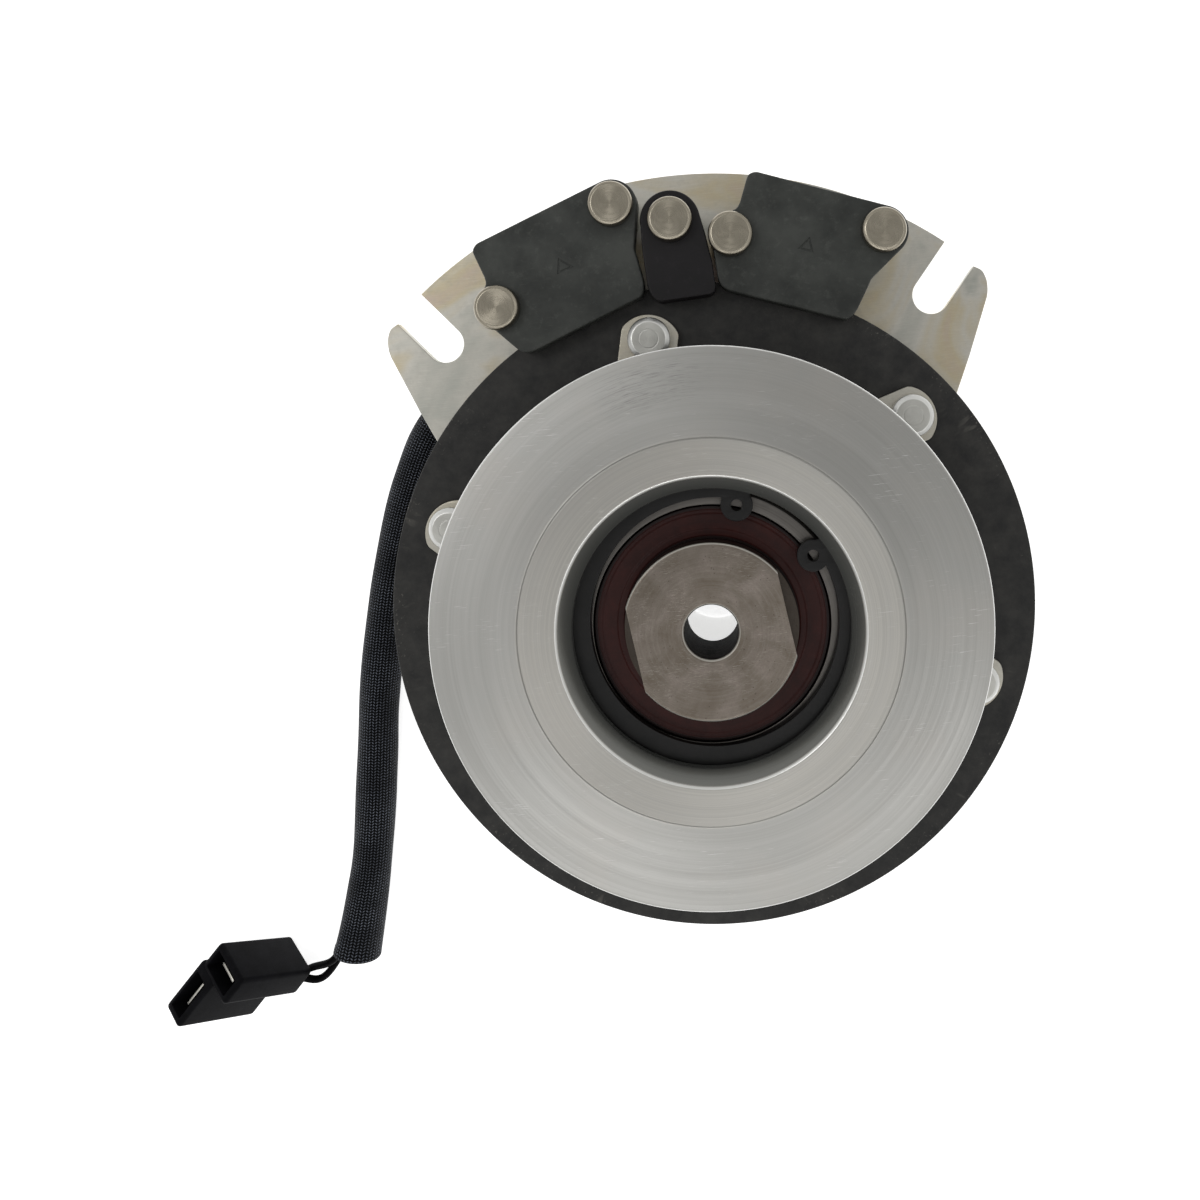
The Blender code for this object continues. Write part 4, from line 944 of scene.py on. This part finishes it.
PLATE_ARC_R = 111.8
SLOT_C, SLOT_ANGLE, SLOT_HALF = (65.3, 73.05), 50.0, 5.0
sx, sy = SLOT_C
dx, dy = polar(1.0, SLOT_ANGLE)
nx, ny = dy, -dx
inner_wall = (sx - SLOT_HALF * nx, sy - SLOT_HALF * ny)
outer_wall = (sx + SLOT_HALF * nx, sy + SLOT_HALF * ny)


def along_to_radius(p, d, radius):
    b = p[0] * d[0] + p[1] * d[1]
    t = -b + math.sqrt(b * b - (p[0] ** 2 + p[1] ** 2) + radius ** 2)
    return (p[0] + t * d[0], p[1] + t * d[1])


corner = along_to_radius(inner_wall, (dx, dy), PLATE_ARC_R)
tip = along_to_radius(outer_wall, (dx, dy), 111.0)
ear_tail = soften([corner, tip, (79.6, 78.4), (80.6, 75.6), (80.5, 72.0), (73.9, 55.9), (64.2, 34.6), (60.0, 26.0)], 4.0, 6)
slot_arc = [(sx + SLOT_HALF * math.cos(math.radians(a)), sy + SLOT_HALF * math.sin(math.radians(a)))
            for a in range(int(SLOT_ANGLE) + 90, int(SLOT_ANGLE) + 271, 6)]
outer_side = soften([tip, (79.6, 78.4), (80.6, 75.6), (80.5, 72.0), (73.9, 55.9), (64.2, 34.6)], 2.6, 6, closed=False)
right_side = [corner] + slot_arc + outer_side
top_arc_angle = math.degrees(math.atan2(corner[1], corner[0]))
plate_outline = (
    arc(0, 0, PLATE_ARC_R, 180 - top_arc_angle, top_arc_angle, 90)[1:-1]
    + right_side
    + arc(0, 0, 73.0, 24.0, -204.0, 150)
    + [(-x, y) for x, y in reversed(right_side)]
)
SHOE_L_C, SHOE_L_ANGLE = (-30.3, 89.9), 36.8
SHOE_R_C, SHOE_R_ANGLE = (31.95, 89.55), -4.25
PIN_HALF_SPAN = 18.8
CENTRE_PIN = (-1.2, 95.9)
pins = [
    placed((-PIN_HALF_SPAN, 0), SHOE_L_C, SHOE_L_ANGLE),
    placed((PIN_HALF_SPAN, 0), SHOE_L_C, SHOE_L_ANGLE),
    CENTRE_PIN,
    placed((-PIN_HALF_SPAN, 0), SHOE_R_C, SHOE_R_ANGLE),
    placed((PIN_HALF_SPAN, 0), SHOE_R_C, SHOE_R_ANGLE),
]
plate = slab("plate", [plate_outline, circle(0, 0, 68.4, 160)] + [circle(x, y, 3.4, 40) for x, y in pins], 16.0, 19.0, 0.28)
piece(plate, "field", "zinc", "mounting_plate")


# ================================================================ brake shoes and posts
def shoe_outline():
    """Right and left side shoes are the same part."""
    straight = [(-14.6, 13.2), (-14.0, 14.9), (-12.2, 15.5)]
    edge = arc(PIN_HALF_SPAN, 0, 6.4, 76, -42, 26)
    lower = [(15.6, -11.8), (15.0, -13.2), (11.95, -19.3), (10.5, -21.0), (9.0, -21.7)]
    toe = [(-19.4, -13.8), (-21.2, -12.7), (-22.1, -10.9)]
    round_end = arc(-PIN_HALF_SPAN, 0, 5.2, 214, 128, 18)
    upper = [(-16.9, 6.6), (-16.2, 8.0)]
    return soften(straight + edge + lower + toe + round_end + upper, 1.6, 4)


def mark_groove(corners, z0, z1):
    """Thin triangular groove cutter: outline ring of an engraved triangle."""
    c = (sum(p[0] for p in corners) / 3, sum(p[1] for p in corners) / 3)
    inner = [(c[0] + (p[0] - c[0]) * 0.60, c[1] + (p[1] - c[1]) * 0.60) for p in corners]
    return finish_mesh("cutter", slab_body([corners, inner], z0, z1, 0.02, 1), weight=False)


def photo_frame(x, y):
    """A point read in the photograph's upright frame, turned into this one."""
    c, s = math.cos(math.radians(-5.75)), math.sin(math.radians(-5.75))
    return (x * c - y * s, x * s + y * c)


for side, centre, angle, ids, mark in (
    ("left", SHOE_L_C, SHOE_L_ANGLE, (0, 1), ((-38.3, 86.1), (-34.4, 83.9), (-38.5, 82.1))),
    ("right", SHOE_R_C, SHOE_R_ANGLE, (3, 4), ((20.6, 88.4), (23.6, 91.3), (24.5, 87.4))),
):
    shoe = finish_mesh(f"shoe_{side}", slab_body([[placed(p, centre, angle) for p in shoe_outline()]] + [circle(*pins[i], 3.4, 40) for i in ids],
                                                 34.3, 39.4, 0.5, 4))
    boolean(shoe, [mark_groove([photo_frame(*p) for p in mark], 39.16, 39.9)])
    piece(shoe, "field", "shoe_black", f"brake_shoe_{side}")
centre_outline = soften(
    arc(*CENTRE_PIN, 7.4, 188, 8, 36)
    + [(7.1, 92.0), (8.1, 85.0), (8.4, 78.6), (8.0, 77.3), (6.9, 76.7)]
    + [(-5.6, 76.1), (-7.2, 77.2), (-8.2, 79.6), (-8.7, 89.0)], 1.4, 4)
shoe = slab("shoe_centre", [centre_outline, circle(*CENTRE_PIN, 3.4, 40)], 34.3, 39.9, 0.45, 4)
piece(shoe, "field", "centre_black", "brake_shoe_centre")

for i, (x, y) in enumerate(pins):
    top = 42.4 + (0.5 if i == 2 else 0.0)
    under = (39.9 if i == 2 else 39.4) + 0.3
    post = lathe(f"post_{i + 1}", [
        (0.0, 13.2), (4.2, 13.2), (4.8, 13.8), (4.8, 15.7), (3.05, 15.7), (3.05, under),
        (5.5, under), (5.5, top - 0.9), (5.25, top - 0.35), (4.6, top), (0.0, top),
    ], 64, (x, y), 0.22)
    piece(post, "field", "nickel", f"brake_post_{i + 1}",
          look=look_pin(f"nickel_{i + 1}", (x, y), (0.34, 0.307, 0.245), (0.44, 0.400, 0.325), 0.27, 1.3 + 0.25 * i))
    spacer = lathe(f"spacer_{i + 1}", [(3.5, 19.3), (5.2, 19.3), (5.2, 34.0), (3.5, 34.0)], 64, (x, y), 0.3)
    piece(spacer, "field", "zinc", f"brake_spacer_{i + 1}")


# ================================================================ bearings, hub and rotor
def bearing(prefix, z0, outer_body, inner_body):
    z1, mid = z0 + 16.0, z0 + 8.0
    ring = lathe(f"{prefix}_outer", [
        (27.2, z0), (30.5, z0), (31.0, z0 + 0.5), (31.0, z1 - 0.5), (30.5, z1), (27.2, z1), (27.2, mid + 3.2), (28.1, mid), (27.2, mid - 3.2),
    ], 160, edge=0.25)
    # painted shade: the front bearing's outer ring gets a darker copy of the bearing steel
    shaded_copy = look_plain_steel("bearing_steel_shaded", (0.105, 0.098, 0.090), (0.165, 0.155, 0.145), 0.34, 0.4) if prefix == "front_bearing" else None
    piece(ring, outer_body, "bearing_steel", f"{prefix}_outer_ring", look=shaded_copy)
    ring = lathe(f"{prefix}_inner", [
        (15.15, z0), (18.9, z0), (18.9, mid - 3.2), (18.0, mid), (18.9, mid + 3.2), (18.9, z1), (15.15, z1),
    ], 128, edge=0.3)
    piece(ring, inner_body, "bearing_steel", f"{prefix}_inner_ring")
    for side, low in (("rear", z0 + 0.25), ("front", z1 - 1.55)):
        # moulded rubber over a steel disc, with a shallow ridge on the outer face
        f = 1.0 if side == "front" else -1.0
        out = low + (1.3 if side == "front" else 0.0)
        back = low + (0.0 if side == "front" else 1.3)
        step = -0.35 * f
        seal = lathe(f"{prefix}_seal_{side}_rubber", [
            (19.3, back), (26.9, back), (26.9, out), (26.2, out), (26.0, out - 0.16 * f), (25.4, out - 0.16 * f), (25.0, out + step),
            (21.9, out + step), (21.5, out - 0.05 * f), (20.3, out - 0.05 * f), (20.1, out - 0.2 * f), (19.3, out - 0.2 * f),
        ], 160, edge=0.16)
        piece(seal, outer_body, "seal_brown", f"{prefix}_seal_{side}")


bearing("rear_bearing", 3.3, "field", "rotor")
bearing("front_bearing", 39.5, "pulley", "rotor")

hub = lathe("hub", [
    (11.15, 0.4), (14.4, 0.4), (14.9, 0.9), (14.9, 1.2), (13.9, 1.2), (13.9, 3.0), (14.9, 3.0),
    (14.9, 19.6), (19.0, 19.6), (19.0, 39.2), (14.9, 39.2), (14.9, 55.2), (11.15, 55.2),
], 128, edge=0.22)
key = rounded_box("k", (4.8, 13.2, 48.0), Matrix.Translation(Vector(here(0, 6.6, 22.0))), 0.0)
boolean(hub, [key])
piece(hub, "rotor", "worn_steel", "rotor_hub")

nose = lathe("nose", [
    (6.0, 47.0), (10.85, 47.0), (10.85, 55.8), (18.3, 55.8), (18.3, 58.6), (19.83, 58.6), (19.83, 63.5), (19.33, 64.0), (6.5, 64.0), (6.0, 63.5),
], 192, edge=0.3)
flats = []
for side in (0.0, 180.0):
    turn = Matrix.Rotation(math.radians(7.65 + side), 4, "Z") @ Matrix.Translation(((17.2 + 5) * MM, 0, 63.6 * MM))
    flats.append(rounded_box("flat", (10.0, 50.0, 9.9), Matrix.Translation((0, AXIS_Y * MM, 0)) @ turn, 0.0))
boolean(nose, flats)
edge_break(nose, 0.28, 2, 40.0)
piece(nose, "rotor", "worn_steel", "hub_nose")
nose.data.materials.append(look_drilled())
for face in nose.data.polygons:
    at = face.center
    if math.hypot(at.x / MM, at.y / MM - AXIS_Y) < 6.2 and at.z / MM < 63.4:
        face.material_index = 1

banana = []
for i in range(6):
    a0, a1 = 60 * i + 8.0, 60 * i + 52.0
    banana.append(arc(0, 0, 53.5, a0, a1, 28) + arc(0, 0, 49.5, a1, a0, 28))
disc = slab("rotor_plate", [circle(0, 0, 77.0, 200), circle(0, 0, 19.4, 96)] + [soften(b, 1.2, 4, least=40.0) for b in banana], 20.5, 27.0, 0.35)
piece(disc, "rotor", "rotor_steel", "rotor_disc")
clip = slab("hub_clip", [soften(arc(0, 0, 18.6, 285, 615, 110) + arc(0, 0, 14.25, 615, 285, 110), 0.8, 4, least=40.0)], 1.5, 2.7, 0.15, 2)
piece(clip, "rotor", "circlip_black", "rear_circlip")

# ================================================================ pulley
inner_rivets = [polar(43.0, 8.0 + 120 * i) for i in range(3)]
outer_rivets = [polar(68.3, 38.0 + 60 * i) for i in range(6)]
pulley = lathe("sheave", [
    (27.5, 36.0), (51.0, 36.0), (52.0, 37.2), (62.6, 40.2), (63.5, 41.0), (63.5, 42.4),
    (49.6, 46.9), (49.6, 54.4), (63.5, 58.9), (63.5, 60.35), (63.2, 60.6), (43.05, 63.55), (42.8, 64.0), (34.6, 64.0), (33.9, 63.4),
    (31.35, 60.3), (31.35, 58.1), (33.2, 58.1), (33.2, 55.8), (31.3, 55.8), (31.3, 39.2), (27.5, 39.2),
], 256, edge=0.28, radii={6: 0.9, 7: 0.9, 5: 0.5, 8: 0.5})
boolean(pulley, [cylinder(3.3, (x, y, 33.0), (x, y, 44.0), 32) for x, y in inner_rivets])
piece(pulley, "pulley", "turned_steel", "pulley")

GAP_ANGLE, GAP_HALF, EAR_PCR, EAR_R = 50.9, 21.85, 27.9, 3.7


def eared_ring():
    left, right = GAP_ANGLE + GAP_HALF, GAP_ANGLE - GAP_HALF + 360
    join = 6.9
    outline = arc(0, 0, 32.8, left - 4, right + 4, 150)
    outline += arc(*polar(EAR_PCR, right), EAR_R, right + 42, right + 285, 26)
    for i in range(110):
        a = right - join - (right - left - 2 * join) * i / 109
        lean = (1 - math.cos(math.radians(a - GAP_ANGLE))) / 2
        outline.append(polar(29.3 - 2.3 * lean, a))
    return outline + arc(*polar(EAR_PCR, left), EAR_R, left + 75, left + 318, 26)


ring = slab("bore_clip", [soften(eared_ring(), 0.6, 3, least=30.0), circle(*polar(EAR_PCR, GAP_ANGLE + GAP_HALF), 1.3, 32),
                          circle(*polar(EAR_PCR, GAP_ANGLE - GAP_HALF), 1.3, 32)], 56.1, 57.8, 0.2, 2)
piece(ring, "pulley", "circlip_black", "front_circlip")


def star_outline():
    """Ring with six skewed arms; each arm ends in a rounded lug outside its rivet."""
    outline = []
    half, lug_r = 7.2, 8.3
    for k in range(6):
        angle = 38.0 - 60 * k
        px, py = polar(68.3, angle)
        ux, uy = polar(1.0, angle - 20.5)
        vx, vy = -uy, ux
        for side in (1, -1):
            qx, qy = px + side * half * vx, py + side * half * vy
            b = qx * ux + qy * uy
            t = -b + math.sqrt(b * b - (qx * qx + qy * qy) + 49.5 ** 2)
            outline.append((qx + t * ux, qy + t * uy))
            if side == 1:
                cx, cy = px - 2.1 * ux, py - 2.1 * uy
                edge = math.degrees(math.asin((half - 0.4) / lug_r))
                base = math.degrees(math.atan2(uy, ux))
                lug = [(cx + lug_r * math.cos(math.radians(base + edge - 2 * edge * i / 24)), cy + lug_r * math.sin(math.radians(base + edge - 2 * edge * i / 24)))
                       for i in range(25)]
                reach = lug_r * math.cos(math.radians(edge)) - 0.9
                first = (cx + reach * ux + half * vx, cy + reach * uy + half * vy)
                outline += [first] + lug + [(first[0] - 2 * half * vx, first[1] - 2 * half * vy)]
        a0 = math.degrees(math.atan2(outline[-1][1], outline[-1][0]))
        nxt = 38.0 - 60 * (k + 1)
        qx, qy = polar(68.3, nxt)
        wx, wy = polar(1.0, nxt - 20.5)
        qx, qy = qx - half * wy, qy + half * wx
        b = qx * wx + qy * wy
        t = -b + math.sqrt(b * b - (qx * qx + qy * qy) + 49.5 ** 2)
        a1 = math.degrees(math.atan2(qy + t * wy, qx + t * wx))
        while a1 > a0:
            a1 -= 360
        outline += arc(0, 0, 49.5, a0, a1, 18)[1:-1]
    return outline


star = slab("spring_star", [soften(star_outline(), 1.1, 4, least=20.0), circle(0, 0, 33.0, 128)]
            + [circle(x, y, 3.4, 40) for x, y in inner_rivets + outer_rivets], 34.3, 35.7, 0.22, 3)
star.data.materials.append(LOOKS["spring_zinc"])
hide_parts("star_spring")
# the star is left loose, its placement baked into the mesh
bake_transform(star)
for i, (x, y) in enumerate(inner_rivets):
    rivet = lathe(f"pulley_rivet_{i + 1}", [
        (0.0, 31.9), (4.6, 31.9), (5.4, 32.7), (5.4, 34.0), (3.0, 34.0), (3.0, 43.6), (0.0, 43.6),
    ], 48, (x, y), 0.2)
    piece(rivet, "pulley", "bright_rivet", f"spring_rivet_{i + 1}",
          look=look_pin(f"inner_rivet_steel_{i + 1}", (x, y), (0.5, 0.5, 0.49), (0.68, 0.68, 0.66), 0.28, 2.0))

# ================================================================ armature
armature = slab("armature_ring", [circle(0, 0, 80.8, 256), circle(0, 0, 39.0, 128)] + [circle(x, y, 3.4, 40) for x, y in outer_rivets], 27.5, 34.0, 0.4, 4)
boolean(armature, [cylinder(6.9, (x, y, 25.0), (x, y, 36.5), 48) for x, y in inner_rivets])
piece(armature, "armature", "black_plate", "armature_plate")
for i, (x, y) in enumerate(outer_rivets):
    rivet = lathe(f"rivet_{i + 1}", [
        (0.0, 28.1), (3.0, 28.1), (3.0, 36.0), (5.3, 36.0), (5.4, 36.5), (5.38, 37.0), (5.2, 37.32), (4.4, 37.88), (4.1, 38.0), (2.6, 38.0), (2.4, 37.96), (2.2, 38.0), (0.0, 38.0),
    ], 64, (x, y), 0.14)
    piece(rivet, "armature", "bright_rivet", f"armature_rivet_{i + 1}",
          look=look_pin(f"rivet_steel_{i + 1}", (x, y), (0.56, 0.555, 0.52), (0.64, 0.635, 0.60), 0.38, 0.9 + 0.15 * i, flat=4.05))

# ================================================================ carried-over inner pieces
for node, look in (
    ("coil_bobbin", "bobbin"), ("coil_winding", "copper"),
    ("rear_bearing_balls_and_cage", "cage_steel"), ("front_bearing_balls_and_cage", "cage_steel"),
):
    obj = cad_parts[node]
    for slot in obj.material_slots:
        slot.material = LOOKS[look]

# ================================================================ floor and light
body = bmesh.new()
bmesh.ops.create_circle(body, cap_ends=True, segments=128, radius=4.0)
floor = bpy.data.objects.new("floor", bpy.data.meshes.new("floor"))
body.to_mesh(floor.data)
body.free()
floor.location = (0.0, 0.0, -0.0002)
home.objects.link(floor)
floor.data.materials.append(look_floor())

world = bpy.data.worlds.new("studio")
world.use_nodes = True
sky = world.node_tree
back = sky.nodes["Background"]
back.inputs["Strength"].default_value = 1.0
sky_at = sky.nodes.new("ShaderNodeTexCoord")
sky_axes = sky.nodes.new("ShaderNodeSeparateXYZ")
sky_band = sky.nodes.new("ShaderNodeValToRGB")
sky.links.new(sky_at.outputs["Generated"], sky_axes.inputs["Vector"])
sky.links.new(sky_axes.outputs["Z"], sky_band.inputs["Fac"])
# soft tent: pale walls, dimmer roof
stops = [(0.0, 0.52), (0.55, 0.60), (0.80, 0.56), (0.93, 0.46), (1.0, 0.38)]
while len(sky_band.color_ramp.elements) < len(stops):
    sky_band.color_ramp.elements.new(0.5)
for spot, (at, tone) in zip(sky_band.color_ramp.elements, stops):
    spot.position = at
    spot.color = (tone, tone, tone * 0.985, 1.0)
sky_band.color_ramp.interpolation = "EASE"
sky.links.new(sky_band.outputs["Color"], back.inputs["Color"])
bpy.context.scene.world = world


def area(name, azimuth, elevation, distance, size, power, colour=(1, 1, 1)):
    data = bpy.data.lights.new(name, "AREA")
    data.shape = "RECTANGLE"
    data.size, data.size_y = size
    data.energy = power
    data.color = colour
    lamp = bpy.data.objects.new(name, data)
    a, e = math.radians(azimuth), math.radians(elevation)
    aim = Vector((0, AXIS_Y * MM, 0.04))
    lamp.location = aim + distance * Vector((math.cos(e) * math.cos(a), math.cos(e) * math.sin(a), math.sin(e)))
    lamp.rotation_euler = (aim - lamp.location).to_track_quat("-Z", "Y").to_euler()
    home.objects.link(lamp)


area("back_right", 20.0, 50.0, 0.95, (0.30, 0.30), 0.18)
area("key", 150.0, 50.0, 0.95, (0.30, 0.30), 0.93)
area("front_left", 235.0, 45.0, 0.95, (0.30, 0.30), 0.42)
area("front_low", 270.0, 35.0, 0.95, (0.30, 0.30), 0.55)
area("front_right", 310.0, 45.0, 0.95, (0.30, 0.30), 0.38)
area("front_high", 279.0, 75.0, 0.95, (0.10, 0.30), 0.20)
